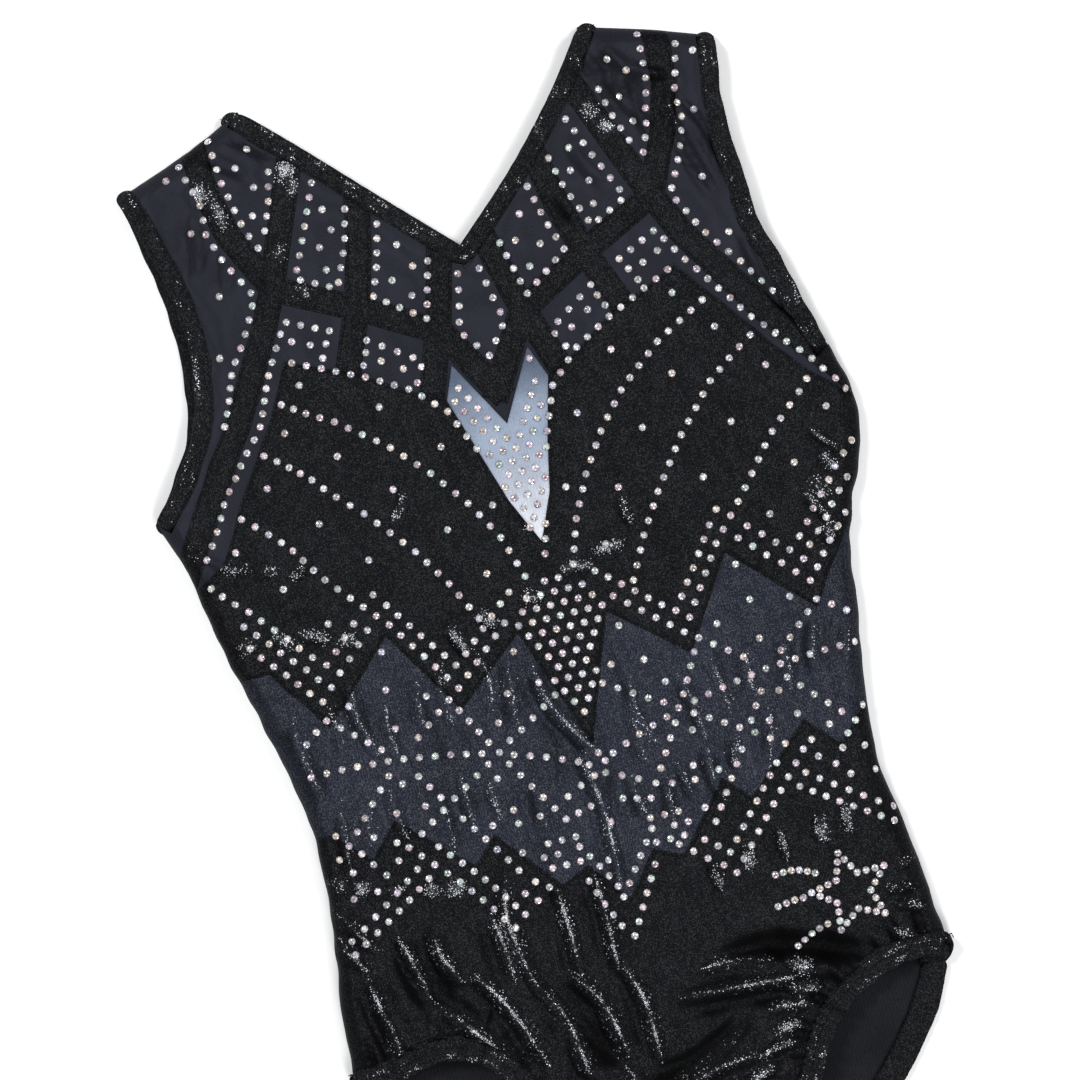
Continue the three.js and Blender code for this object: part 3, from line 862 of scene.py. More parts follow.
def mesh_inside(loops, step, edge_rows):
    """Points and triangles that fill the loops: rows close to the edge, and an even grid inside."""
    border, links = [], []
    for loop in loops:
        ring = []
        for a, b in zip(loop, np.roll(loop, -1, axis=0)):
            n = max(1, round(float(np.linalg.norm(b - a)) / step))
            ring += [a + (b - a) * k / n for k in range(n)]
        links += [(len(border) + k, len(border) + (k + 1) % len(ring)) for k in range(len(ring))]
        border += ring
    border = np.array(border)
    rings = [border]
    for row, distance in enumerate(edge_rows):
        found = []
        for loop in loops:
            closed = np.vstack([loop, loop[:1]])
            ring = along(closed, step * (1 if row % 2 else 1.15))[:-1]
            direction = np.roll(ring, -1, axis=0) - np.roll(ring, 1, axis=0)
            direction /= np.maximum(np.linalg.norm(direction, axis=1), 1e-9)[:, None]
            found.append(ring + distance * np.stack([-direction[:, 1], direction[:, 0]], axis=1))
        found = np.concatenate(found)
        found = found[inside(found, loops)]
        if len(found):
            found = found[distance_to(found, loops, closed=True) > 0.9 * distance]
        if len(found):
            rings.append(found)
    low, high = border.min(axis=0), border.max(axis=0)
    rows = np.arange(low[1], high[1], step * math.sqrt(3) / 2)
    grid = np.array([
        (x, y)
        for k, y in enumerate(rows)
        for x in np.arange(low[0] + (k % 2) * step / 2, high[0], step)
    ])
    grid = grid[inside(grid, loops)]
    grid = grid[distance_to(grid, loops, closed=True) > edge_rows[-1] + 0.55 * step]
    rings.append(grid)
    points = np.concatenate(rings)
    verts, _, faces, *_ = delaunay_2d_cdt([Vector(p) for p in points], links, [], 0, 1e-4)
    verts = np.array([tuple(v) for v in verts])
    faces = np.array([f for f in faces if len(f) == 3])
    middles = verts[faces].mean(axis=1)
    faces = faces[inside(middles, loops)]
    a, b, c = (verts[faces[:, k]] for k in range(3))
    ab, ac = b - a, c - a
    turned = ab[:, 0] * ac[:, 1] - ab[:, 1] * ac[:, 0]
    faces = np.where((turned < 0)[:, None], faces[:, ::-1], faces)[np.abs(turned) > 1e-4]
    used, faces = np.unique(faces, return_inverse=True)
    return verts[used], faces.reshape(-1, 3)


def slopes(points, faces, heights):
    """How far each point's cloth is tilted to face the upper left, and how far it is tilted at all."""
    corners = np.column_stack([points, heights])[faces]
    normal = np.cross(corners[:, 1] - corners[:, 0], corners[:, 2] - corners[:, 0])
    total = np.zeros((len(points), 3))
    for k in range(3):
        np.add.at(total, faces[:, k], normal)
    total = unit(total)
    return -0.85 * total[:, 0] + 0.53 * total[:, 1], np.hypot(total[:, 0], total[:, 1])


def grown(points, faces, edge, margin):
    """The points, with those on the border moved out by a margin, so that sewn edges meet."""
    border = {}
    for a, b, c in faces:
        for i, j in ((a, b), (b, c), (c, a)):
            if (j, i) in border:
                del border[(j, i)]
            else:
                border[(i, j)] = True
    out = np.zeros_like(points)
    for i, j in border:
        side = points[j] - points[i]
        out[i] += (side[1], -side[0])
        out[j] += (side[1], -side[0])
    moved = points.copy()
    at = np.linalg.norm(out, axis=1) > 1e-6
    moved[at] += margin * unit(out[at])
    return moved


def cloth_panel(
    sizes, name, material, face, lift=0.0, dip=None, step=None, thickness=None, strip=None,
):
    """A panel cut to its CAD node's outline, lying as the face function says. strip, the width of the
    strips that it is made of where it isn't cut in one, is not used."""
    loops = outline(name)
    step = step or sizes.step / MM
    thickness = thickness or sizes.cloth
    dip = sizes.seam_dip / MM if dip is None else dip
    points, faces = mesh_inside(loops, step, (0.45, 1.1, 2.1, 3.4))
    heights, glint = face(points, sizes)
    shut = distance_to(points, CLOSED_EDGES)
    facing, tilt = slopes(points, faces, heights)
    hollow_shade = np.clip(-glint, 0, 1)
    # painted highlight on cloth that faces the key lamp at the upper left, kept off the closed edges
    glint = np.maximum(glint, 0.6 * step_between(facing, 0.22, 0.5) * step_between(shut, 3, 11) * (1 - hollow_shade))
    ridge = folded(points, 1.0, sizes.seed)[3] if face is front_face else np.ones(len(points))
    # painted shade: cloth that tilts, or lies in a hollow, is darkened in its colour, less near the closed
    # edges
    painted_shade = step_between(tilt, 0.09, 0.42) * (1 - np.clip(glint, 0, 1))
    painted_shade = np.maximum(painted_shade * (0.3 + 0.7 * step_between(shut, 1, 8)), hollow_shade)
    edge = distance_to(points, loops, closed=True)
    points = grown(points, faces, edge, 0.17)
    heights = np.maximum(heights + lift - dip * np.exp(-((edge / 0.9) ** 2)), thickness / MM + 0.02)
    piece = new_piece(name + "_cloth", to_row(points, heights), faces, material, [name])
    mark_points(piece, "glint", glint)
    mark_points(piece, "painted_shade", painted_shade)
    mark_points(piece, "ridge", ridge)
    thicken(piece, thickness)
    low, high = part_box(name)
    area = area_of(loops)
    if strip:
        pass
    else:
        size = (high.x - low.x, high.y - low.y)
        area = min(area, 0.999 * size[0] * size[1])
    return piece


def edge_heights(path, layer, sizes):
    """The height of the cloth along an opening's edge."""
    face = front_face if layer == "front" else back_face
    return face(path, sizes)[0] - (0.3 if layer == "front" else 0.0)


def opening_loop(front, back, sign, sizes, spacing=1.5):
    """The closed line round an opening, over the front and back along the back: its places, and the
    direction across the cloth there. sign is 1 where the cloth is on the right of both paths."""
    runs, across = [], []
    for layer, path in (("front", front), ("back", back)):
        run = along(path, spacing)
        direction = unit(np.gradient(run, axis=0))
        normal = sign * np.stack([direction[:, 1], -direction[:, 0]], axis=1)
        heights = edge_heights(run, layer, sizes)
        if layer == "back":
            heights = np.maximum(heights, sizes.fold_thickness / MM + 0.55)
        runs.append(np.column_stack([run, heights]))
        across.append(np.column_stack([normal, np.zeros(len(run))]))
    line = np.concatenate([runs[0], runs[1][::-1]])
    into = np.concatenate([across[0], across[1][::-1]])
    ease = np.linspace(0, 1, 5)[1:-1, None]
    bulge = 1.15  # how far the fold stands past the end of a seam
    pieces, intos = [], []
    for a, b, ia, ib, tip in (
        (runs[0][-1], runs[1][-1], across[0][-1], across[1][-1], runs[0][-1] - runs[0][-2]),
        (runs[1][0], runs[0][0], across[1][0], across[0][0], runs[0][0] - runs[0][1]),
    ):
        out = unit(np.array([tip[0], tip[1], 0.0]))
        pieces.append(a + (b - a) * ease + out * bulge * np.sin(ease * math.pi))
        intos.append(unit(ia + (ib - ia) * ease))
    half = len(runs[0])
    line = np.concatenate([line[:half], pieces[0], line[half:], pieces[1]])
    into = np.concatenate([into[:half], intos[0], into[half:], intos[1]])
    return line, into, half


def swept(line, into, section, closed=True, turn=1):
    """A strip with a section swept along a line. A section's point is (across, out)."""
    if closed:
        tangent = unit(np.roll(line, -1, axis=0) - np.roll(line, 1, axis=0))
    else:
        tangent = unit(np.gradient(line, axis=0))
    into = unit(into - (into * tangent).sum(axis=1, keepdims=True) * tangent)
    out = turn * np.cross(into, tangent)
    count, width = len(line), len(section)
    points = np.concatenate([
        line[i] + np.outer(section[:, 0], into[i]) + np.outer(section[:, 1], out[i]) for i in range(count)
    ])
    faces = []
    for i in range(count if closed else count - 1):
        j = (i + 1) % count
        for k in range(width - 1):
            quad = (i * width + k, i * width + k + 1, j * width + k + 1, j * width + k)
            faces.append(quad if turn > 0 else quad[::-1])
    return points, faces, into, out


def fold_section(width, half):
    """A strip folded in two: the outer leaf from its sewn edge, round the fold, and the inner leaf."""
    leaf = np.linspace(1, 0.12, 8)
    puff = half * (0.42 + 0.58 * np.sin(np.clip(leaf, 0, 1) ** 0.8 * math.pi) ** 0.6)
    puff[0] = half * 0.48
    outer = np.column_stack([leaf * width, puff])
    angle = np.linspace(math.pi / 2, -math.pi / 2, 7)[1:-1]
    radius = puff[-1]
    bend = np.column_stack([leaf[-1] * width - np.cos(angle) * leaf[-1] * width, np.sin(angle) * radius])
    return np.concatenate([outer, bend, outer[::-1] * (1, -1)])


def rounded_ends(grid, line, into, half_way, share, radius):
    """A folded strip's rows, drawn in near its two ends so that each end is round, not square."""
    s = distance_along(line)
    length = s[-1] + float(np.linalg.norm(line[0] - line[-1]))
    corner = 1 - np.sqrt(np.clip(1 - (2 * np.clip(share, 0, 1) - 1) ** 2, 0, 1))
    out = grid.copy()
    for tip in (half_way + 1, len(line) - 2):
        gap = np.abs(s - s[tip])
        gap = np.minimum(gap, length - gap)
        nearness = np.exp(-((gap / 4.2) ** 2))
        before, after = line[(tip - 6) % len(line)], line[(tip + 6) % len(line)]
        inward = unit((before + after) / 2 - line[tip])
        inward = unit(inward * (1, 1, 0))
        across = unit(into[tip] * (1, 1, 0))
        inward = unit(inward - (inward @ across) * across)
        out += radius * (nearness[:, None] * corner[None, :])[..., None] * inward
    return out


def metres(points):
    """Places in the pattern's millimetres, as places in metres in the CAD model's frame."""
    return to_row(points[:, :2], points[:, 2])


def stitches(lines, thread, reach, gap):
    """Short rounded threads laid end to end along lines of (place, out) pairs, in millimetres."""
    points, faces = [], []
    sides = 5
    for line, out in lines:
        s = distance_along(line)
        count = int(s[-1] // (reach + gap))
        for k in range(count):
            start = k * (reach + gap)
            at = np.array([start, start + 0.25 * reach, start + 0.75 * reach, start + reach])
            mid = np.stack([np.interp(at, s, line[:, c]) for c in range(3)], axis=1)
            up = unit(np.stack([np.interp(at, s, out[:, c]) for c in range(3)], axis=1))
            tangent = unit(np.gradient(mid, axis=0))
            cross = unit(np.cross(tangent, up))
            base = len(points)
            for j, (sink, girth) in enumerate(((-0.9, 0.55), (0.45, 1.0), (0.45, 1.0), (-0.9, 0.55))):
                for a in range(sides):
                    angle = math.tau * a / sides
                    ring = cross[j] * math.cos(angle) + up[j] * math.sin(angle)
                    points.append(mid[j] + up[j] * sink * thread + ring * thread * girth)
            for j in range(3):
                for a in range(sides):
                    b = (a + 1) % sides
                    faces.append((base + j * sides + a, base + j * sides + b,
                                  base + (j + 1) * sides + b, base + (j + 1) * sides + a))
            faces.append(tuple(base + a for a in reversed(range(sides))))
            faces.append(tuple(base + 3 * sides + a for a in range(sides)))
    return np.array(points), faces


# The folded strip of each opening, and the side of the opening's edges that its cloth is on.
OPENINGS = {
    "neck": ("neck_binding", 1),
    "left_arm": ("left_arm_binding", 1),
    "right_arm": ("right_arm_binding", -1),
    "left_leg": ("left_leg_hem", 1),
    "right_leg": ("right_leg_hem", -1),
}


def edges_of(name):
    """The front and the back edge of an opening."""
    if name == "neck":
        return [through(PATHS["right"]["neck_" + k], PATHS["left"]["neck_" + k]) for k in ("front", "back")]
    side, kind = name.split("_")
    return [PATHS[side][kind + "_" + k] for k in ("front", "back")]


# ---------------------------------------------------------------- the rhinestones' pattern

# Rows of stones on the leotard's left half, each with its own spacing.
YOKE_ROWS = [
    [(5, -2.5), (8.2, -19), (10, -24), (0.7, -36)],
    [(30.5, 23.5), (34, 9), (38.5, -3.5), (20.5, -16.5), (15, 5)],
    [(51, 45), (58.5, 27), (66, 10.5), (51, 3), (44, 19.5), (41, 32)],
    [(85.5, 70), (84.5, 52), (80.5, 34), (76, 23), (69, 41), (66, 53)],
    [(98.5, 63), (94.7, 46.5), (95, 35), (91.5, 23.5), (83, 7.5), (91.5, -8.5), (112, -38)],
    [(45, -19), (26, -32), (30, -39.5)],
    [(46.5, -23.5), (48.5, -28)],
    [(58, -12), (74, -4.5), (83, -19.5), (100, -43), (119.5, -65), (133, -86)],
    [(60.5, -16.5), (63, -21.5)],
]
YOKE_SINGLES = [
    (25, 14), (21, 4.5), (30, 1), (24, -6.5), (49.5, 34), (48, 25.5), (54, 20), (53.5, 11), (72, 63.5),
    (78, 57.5), (73, 48.5), (76, 38), (104.5, 59), (100.5, 37), (96.5, 11), (101.5, -12), (41.5, -28),
    (34, -33), (66.5, -15.5), (73, -12.5),
]
BODICE_ROWS = [
    [(21.5, -53), (33, -41.5), (48, -33), (64, -25.5), (75, -20.5)],
    [(21.5, -53), (15, -70), (11.5, -81), (9, -92), (4.5, -109.5)],
    [(85, -35), (65, -46), (47.5, -60), (35.5, -74), (26, -88.5), (18, -104.5), (12.5, -121.5)],
    [(100, -52.5), (81, -65.5), (65, -83), (51, -102), (41.5, -117.3), (33.5, -133)],
    [(116.5, -74), (98.5, -91), (83, -109.5), (67.6, -127), (47.6, -157)],
    [(132, -97), (118.5, -109.4), (98.6, -132.5), (90.3, -140.3)],
    [(66.8, -119.5), (56.5, -134.5), (43, -153)],
    [(24.5, -137), (47.6, -157)],
    [(24.3, -129.5), (50.5, -152.4)],
    [(76.2, -127), (99.5, -149.5)],
    [(76.2, -119), (103.4, -145.2)],
    [(121.8, -114.3), (94.9, -144.8)],
    [(121.5, -123), (99.5, -149.5)],
]
BODICE_SINGLES = [
    (46.5, -45), (28, -65.5), (67, -59.5), (51, -77), (87.5, -46), (36.5, -97), (69, -101), (103, -65),
    (84.5, -83), (121.5, -86), (104, -104), (74.5, -29.5), (90.3, -121), (26.5, -117), (17, -92),
    (3, -115), (70.8, -114.3), (20, -126),
]
BODICE_FILL = [
    (3, -124), (17, -128), (26, -139), (21, -142), (17.5, -148), (13.5, -158), (9.5, -170), (3, -187),
]
MIDRIFF_ROWS = [
    [
        (12.4, -168.5), (28, -178.3), (33.3, -181.2), (39.1, -185.2), (50.6, -192.3), (62.3, -199.5),
        (74.8, -207.8),
    ],
    [(49.5, -165.4), (41.5, -180)],
    [(45, -183.5), (57.5, -181), (76.4, -178), (96.2, -176.7), (110.7, -176.5)],
    [(33.2, -187), (21.3, -190.8), (9.9, -195.5)],
    [(35.8, -190), (29.5, -200.3), (19.8, -215.8)],
    [(44.6, -188.5), (41.6, -194.3)],
    [(52.4, -160.5), (66.6, -171.2), (76.4, -178), (85.5, -187), (103.3, -205.7)],
    [
        (99.5, -157), (84.4, -170.7), (76.4, -178), (69.1, -188.5), (59, -204.7), (48.6, -220.3),
        (41.8, -230.5),
    ],
    [(5.2, -202), (11.1, -204.7), (16.9, -207.5)],
    [(17.3, -227.3), (0.5, -250)],
    [(9.3, -213.3), (19.8, -215.8)],
]
MIDRIFF_SINGLES = [
    (77.5, -187.5), (82.3, -197.8), (70.9, -197.8), (75, -166.3), (75, -151), (90, -153.6), (60.5, -157),
    (73, -136.5), (104.6, -160.3), (109.6, -164), (107.6, -200.8), (93.2, -204.7), (99.2, -209.8),
    (95.8, -214.8), (38.5, -207.5), (47.7, -211.4), (23.8, -148.5), (30, -163.5), (17.3, -162.3),
    (36, -173.7), (4.4, -193.9), (6.2, -197.6), (3.1, -205), (29.1, -212.2), (2.6, -221), (7, -235),
    (37.9, -213),
]
MIDRIFF_FILL = [(19.8, -214), (33.5, -225), (31.5, -234), (22, -237.5), (9.5, -227)]
BRIEF_ROWS = [
    [(81, -211.7), (44.8, -251.5)],
    [(69.8, -214.2), (40.7, -247.5)],
    [(26, -235.6), (44.8, -251.5)],
    [(27.3, -229.2), (44.7, -243.3)],
    [(79.9, -220.6), (109, -241.5)],
    [(76.4, -225.2), (107.8, -246.8)],
    [(18, -236), (1.0, -265.5)],
    [(12.5, -232.5), (8.5, -241), (2.0, -251.5)],
]
BRIEF_SINGLES = [
    (92, -220), (97, -225.2), (106.8, -226), (104.3, -216), (108.1, -210), (86, -215.7), (85, -208.8),
    (36, -236.5), (44.7, -225.8), (39.1, -224.3),
]
BRIEF_FILL = [(1, -241), (12, -243), (7, -252), (1, -262)]
STAR_CENTRE, STAR_REACH = (86, -269), 15.5
STAR_TAILS = [
    [(74, -259), (67, -256), (59, -256)], [(74, -268.5), (66, -267), (57, -268)],
    [(74, -279), (68, -281), (61, -285)],
]


def both_halves(points, tuck=6.5):
    """Points of the left half and their twins on the right, across the pattern's centre line. The
    twins are drawn in under the arm, where the right half of the cloth lies tucked."""
    p = np.asarray(points, float)
    under_arm = step_between(-p[:, 1], 12, 42) * (1 - step_between(-p[:, 1], 72, 112))
    drawn_in = tuck * under_arm * step_between(p[:, 0], 70, 104)
    twin = np.column_stack([2 * lean(p[:, 1]) - p[:, 0] + drawn_in, p[:, 1]])
    return np.concatenate([p, twin])


def packed(polygon, spacing, margin=0.0):
    """Points in close-packed rows inside a polygon."""
    loop = np.asarray(polygon, float)
    low, high = loop.min(axis=0), loop.max(axis=0)
    rows = np.arange(low[1], high[1] + spacing, spacing * math.sqrt(3) / 2)
    points = np.array([
        (x, y)
        for k, y in enumerate(rows)
        for x in np.arange(low[0] + (k % 2) * spacing / 2, high[0] + spacing, spacing)
    ])
    points = points[inside(points, [loop])]
    if margin and len(points):
        points = points[nearest(points, loop, closed=True)[0] > margin]
    return points


def star_points(centre, reach, spacing):
    """Points along the outline of a five-pointed star."""
    corners = []
    for k in range(10):
        radius = reach if k % 2 == 0 else 0.47 * reach
        angle = math.pi / 2 + 0.12 + k * math.pi / 5
        corners.append((centre[0] + radius * math.cos(angle), centre[1] + radius * math.sin(angle)))
    found = [along((a, b), spacing)[:-1] for a, b in zip(corners, corners[1:] + corners[:1])]
    return np.concatenate(found)


def apart(points, least, taken=()):
    """The points that keep at least a distance from each other and from those taken."""
    kept, cells = [], {}

    def cell(p):
        return (math.floor(p[0] / least), math.floor(p[1] / least))

    for p in taken:
        cells.setdefault(cell(p), []).append(p)
    for p in points:
        cx, cy = cell(p)
        near = [q for i in (-1, 0, 1) for j in (-1, 0, 1) for q in cells.get((cx + i, cy + j), ())]
        if all(math.dist(p, q) >= least for q in near):
            kept.append(p)
            cells.setdefault((cx, cy), []).append(p)
    return np.array(kept).reshape(-1, 2)


# The pink, green, blue and amber that a crystal throws, beside plain white: painted reflections that tint
# its facets' colour.
HUES = (
    (1.0, 0.80, 0.86), (0.80, 1.0, 0.90), (0.84, 0.86, 1.0), (1.0, 0.90, 0.78), (0.97, 0.86, 1.0),
    (1, 1, 1), (1, 0.98, 0.98), (1, 1, 1),
)


def stone_mesh(points, sizes, lift, seed):
    """Faceted stones on the front at the pattern points: their places, their faces, and each facet's colour,
    which is painted light: bright and dark facets and a play of colour that stand in for reflections.
    """
    draw = random.Random(seed)
    radius = sizes.stone / 2 / MM
    probe = 1.2
    here, _ = front_face(points, sizes)
    east, _ = front_face(points + (probe, 0), sizes)
    north, _ = front_face(points + (0, probe), sizes)
    slope = np.column_stack([-(east - here) / probe, -(north - here) / probe, np.ones(len(points))])
    rings = ((1.0, 0.0, 0), (1.0, 0.16, 0), (0.76, 0.44, 1), (0.42, 0.60, 0))
    sides = 8
    verts, faces, painted_light = [], [], []
    for place, height, normal, up in zip(points, here, unit(slope), lift):
        z = Vector(normal) + Vector((draw.gauss(0, 0.035), draw.gauss(0, 0.035), 0))
        z.normalize()
        x = z.orthogonal().normalized()
        y = z.cross(x)
        turn = draw.uniform(0, math.tau)
        base = len(verts)
        foot = Vector((place[0], place[1], height + up - 0.05))
        hue = draw.choice(HUES)
        # how brightly this stone's facets are painted, as if lit
        shine = draw.uniform(0.62, 1.02)
        for reach, rise, twist in rings:
            for k in range(sides):
                angle = turn + math.tau * (k + 0.5 * twist) / sides
                arm = x * math.cos(angle) + y * math.sin(angle)
                verts.append(foot + arm * reach * radius + z * rise * radius)
        ring = [[base + r * sides + k for k in range(sides)] for r in range(4)]
        faces.append(tuple(reversed(ring[0])))
        # the foot and the girdle are painted in shade
        painted_light.append((0.5, 0.5, 0.5))
        for k in range(sides):
            n = (k + 1) % sides
            faces.append((ring[0][k], ring[0][n], ring[1][n], ring[1][k]))
            painted_light.append((0.45, 0.45, 0.47))
            for facet in (
                (ring[1][k], ring[1][n], ring[2][k]),
                (ring[1][n], ring[2][n], ring[2][k]),
                (ring[2][k], ring[2][n], ring[3][n]),
                (ring[2][k], ring[3][n], ring[3][k]),
            ):
                faces.append(facet)
                # painted reflection: each crown facet painted light or dark, mostly in the stone's own
                # thrown hue
                light = shine * draw.choice((0.26, 0.44, 0.64, 0.88, 1.0))
                play = hue if draw.random() < 0.6 else draw.choice(HUES)
                painted_light.append(tuple(min(1.0, light * c) for c in play))
        faces.append(tuple(ring[3]))
        # painted reflection on the table
        light = shine * draw.choice((0.40, 0.58, 0.80, 1.0))
        painted_light.append(tuple(min(1.0, light * c) for c in hue))
    return np.array(verts), faces, painted_light


def place_stones(context, name, points, seed, taken, keep_in=None, margin=1.0, least=3.0):
    """One object that holds an area's stones."""
    sizes, colours = context.scene.leotard_sizes, context.scene.leotard_colours
    points = np.asarray(points, float)
    if keep_in is not None:
        points = points[inside(points, keep_in)]
        points = points[distance_to(points, keep_in, closed=True) > margin]
    points = apart(points, least, taken)
    taken.extend(tuple(p) for p in points)
    on_band = inside(points, outline("front_lattice"))
    lift = np.where(on_band, LATTICE_LIFT, 0.0)
    verts, faces, painted_light = stone_mesh(points, sizes, lift, seed)
    material = cut_crystal("Crystal", colours.crystal)
    piece = new_piece(name, metres(verts), faces, material, flat_shaded=True)
    layer = piece.data.attributes.new("facet", "FLOAT_COLOR", "FACE")
    layer.data.foreach_set("color", np.array([(*t, 1.0) for t in painted_light], np.float32).ravel())
    return piece


def front_outline():
    """The outline of the whole front layer."""
    left, right = PATHS["left"], PATHS["right"]
    order = ("neck_front", "shoulder", "arm_front", "side", "leg_front")
    down = np.concatenate([left[k][:-1] for k in order] + [left["leg_front"][-1:]])
    up = np.concatenate([right[k][:-1] for k in order] + [right["leg_front"][-1:]])[1:][::-1]
    return [np.concatenate([down, up])]


# ---------------------------------------------------------------- operators


class LEOTARD_OT_front_panels(bpy.types.Operator):
    """Make the yoke, the bodice, the inset, the midriff and the brief of the front"""

    bl_idname = "leotard.front_panels"
    bl_label = "Front panels"

    def execute(self, context):
        sizes, colours = context.scene.leotard_sizes, context.scene.leotard_colours
        black, navy = black_foil(colours), navy_foil(colours)
        low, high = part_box("center_inset")
        ombre = dyed_knit(
            "Ombre knit", colours.ombre_top, colours.ombre_middle, colours.ombre_tip, low.y, high.y)
        cloth_panel(sizes, "front_yoke_mesh", slate_mesh(colours), front_face)
        cloth_panel(sizes, "front_bodice", black, front_face)
        cloth_panel(sizes, "center_inset", ombre, front_face)
        cloth_panel(sizes, "front_midriff", navy, front_face)
        cloth_panel(sizes, "front_brief", black, front_face, step=1.25)
        return {"FINISHED"}


class LEOTARD_OT_lattice(bpy.types.Operator):
    """Make the lattice of foil bands over the yoke"""

    bl_idname = "leotard.lattice"
    bl_label = "Lattice"

    def execute(self, context):
        sizes, colours = context.scene.leotard_sizes, context.scene.leotard_colours
        cloth_panel(
            sizes, "front_lattice", black_foil(colours), front_face, lift=LATTICE_LIFT,
            dip=0.25, step=1.5, thickness=0.00045, strip=0.010)
        return {"FINISHED"}


class LEOTARD_OT_back_panels(bpy.types.Operator):
    """Make the yoke, the bodice, the midriff and the brief of the back"""

    bl_idname = "leotard.back_panels"
    bl_label = "Back panels"

    def execute(self, context):
        sizes, colours = context.scene.leotard_sizes, context.scene.leotard_colours
        lining = plain_knit("Lining", colours.lining)
        outsides = {"slate_mesh": slate_mesh, "black_foil": black_foil, "navy_foil": navy_foil}
        for name, slot in (
            ("back_yoke_mesh", "slate_mesh"), ("back_bodice", "black_foil"),
            ("back_midriff", "navy_foil"), ("back_brief", "black_foil"),
        ):
            outside = outsides[slot](colours)
            inner = lining if slot != "slate_mesh" else outside
            piece = cloth_panel(sizes, name, inner, back_face, dip=0.15, step=2.6)
            piece.data.materials.append(outside)
            solid = piece.modifiers["Cloth"]
            solid.material_offset = 1
            solid.material_offset_rim = 1
        return {"FINISHED"}


class LEOTARD_OT_bindings(bpy.types.Operator):
    """Fold the bindings over the neck and the arm holes, and the hems over the leg holes"""

    bl_idname = "leotard.bindings"
    bl_label = "Bindings and hems"

    def execute(self, context):
        sizes, colours = context.scene.leotard_sizes, context.scene.leotard_colours
        black, thread = black_foil(colours), sewing_thread(colours)
        half = sizes.fold_thickness / MM
        for name, (cad, sign) in OPENINGS.items():
            front, back = edges_of(name)
            line, into, half_way = opening_loop(front, back, sign, sizes)
            is_leg = name.endswith("leg")
            width = (sizes.hem if is_leg else sizes.binding) / MM
            s = np.cumsum(np.linalg.norm(line - np.roll(line, 1, axis=0), axis=1))
            section = fold_section(width, half)
            round_edge = np.column_stack([s, 0 * s])
            puckers = rumple(round_edge, 5.6, 41) * (0.42 if is_leg else 0.10)
            line = line + np.column_stack([0.6 * puckers[:, None] * into[:, :2], puckers])
            points, faces, across, out = swept(line, into, section, turn=sign)
            grid = points.reshape(len(line), len(section), 3)
            swell = 1 + (0.45 if is_leg else 0.22) * rumple(round_edge, 4.0, 43)
            grid = grid + (section[:, 1][None, :] * (swell - 1)[:, None])[..., None] * out[:, None, :]
            grid = rounded_ends(grid, line, into, half_way, section[:, 0] / width, 3.6 if is_leg else 2.6)
            floor_gap = 0.5
            grid[..., 2] = np.maximum(grid[..., 2], floor_gap)
            piece = new_piece(
                cad + "_cloth", metres(grid.reshape(-1, 3)), faces, black, [cad])
            places = grid.reshape(-1, 3)[:, :2]
            # painted sparkle highlight along the binding's folded edge and beside its sewn row
            glint = 0.8 * rumple(places, 14, 31) + 0.5 * rumple(places, 4, 33) + 0.06
            crest = 0.9 * np.exp(-(((section[:, 0] - 0.2 * width) / (0.12 * width)) ** 2))
            crest += 0.6 * np.exp(-(((section[:, 0] - 0.66 * width) / (0.12 * width)) ** 2))
            glint = np.clip(glint, 0, 0.7).reshape(len(line), -1) * (crest * (section[:, 1] > 0))[None, :]
            mark_points(piece, "glint", glint.ravel())
            mark_points(piece, "ridge", np.full(glint.size, 0.06))
            thicken(piece, sizes.cloth * 0.8, offset=0.0)
            rows = [width - 1.5, width - 4.6] if is_leg else [width - 1.5]
            lines = []
            for row in rows:
                height = np.interp(row, section[:8, 0][::-1], section[:8, 1][::-1])
                rise = height * swell + 0.24
                seat = line + across * row + out * rise[:, None]
                lines.append((np.vstack([seat, seat[:1]]), np.vstack([out, out[:1]])))
            verts, sewn = stitches(lines, sizes.thread / MM, sizes.stitch / MM, STITCH_GAP)
            verts[:, 2] = np.maximum(verts[:, 2], 0.15)
            new_piece(name + "_topstitch", metres(verts), sewn, thread)
        return {"FINISHED"}


class LEOTARD_OT_topstitching(bpy.types.Operator):
    """Sew the front's panels together with zigzag stitches, and the lattice down with straight ones"""

    bl_idname = "leotard.topstitching"
    bl_label = "Topstitching"

    def execute(self, context):
        sizes, colours = context.scene.leotard_sizes, context.scene.leotard_colours
        thread = sewing_thread(colours)
        openings = [path for name in OPENINGS for path in edges_of(name)[:1]]
        for name, cads, lift in (
            ("panel_zigzag", ("front_bodice", "front_brief"), 0.06),
            ("lattice_topstitch", ("front_lattice",), 0.56),
        ):
            is_zigzag = name == "panel_zigzag"
            near, far, pace = (0.35, 1.45, 1.1) if is_zigzag else (0.9, 0.9, 1.3)
            lines = []
            for loop in [loop for cad in cads for loop in outline(cad)]:
                ring = along(np.vstack([loop, loop[:1]]), pace)
                direction = unit(np.roll(ring[:-1], -1, axis=0) - np.roll(ring[:-1], 1, axis=0))
                direction = np.vstack([direction, direction[:1]])
                reach = np.where(np.arange(len(ring)) % 2, near, far)[:, None]
                ring = ring + reach * np.column_stack([-direction[:, 1], direction[:, 0]])
                clear = distance_to(ring, openings) > 9.5
                clear &= distance_to(ring, CLOSED_EDGES) > 2.0
                line = np.column_stack([ring, front_face(ring, sizes)[0] + lift])
                for run in np.split(np.arange(len(line)), np.flatnonzero(np.diff(clear.astype(int))) + 1):
                    if clear[run[0]] and len(run) > 3:
                        lines.append((line[run], np.tile((0.0, 0.0, 1.0), (len(run), 1))))
            length, gap = sizes.stitch / MM, STITCH_GAP
            if is_zigzag:
                length, gap = math.hypot(pace, far - near), 0.0
            verts, sewn = stitches(lines, 0.8 * sizes.thread / MM, length, gap)
            new_piece(name, metres(verts), sewn, thread)
        return {"FINISHED"}


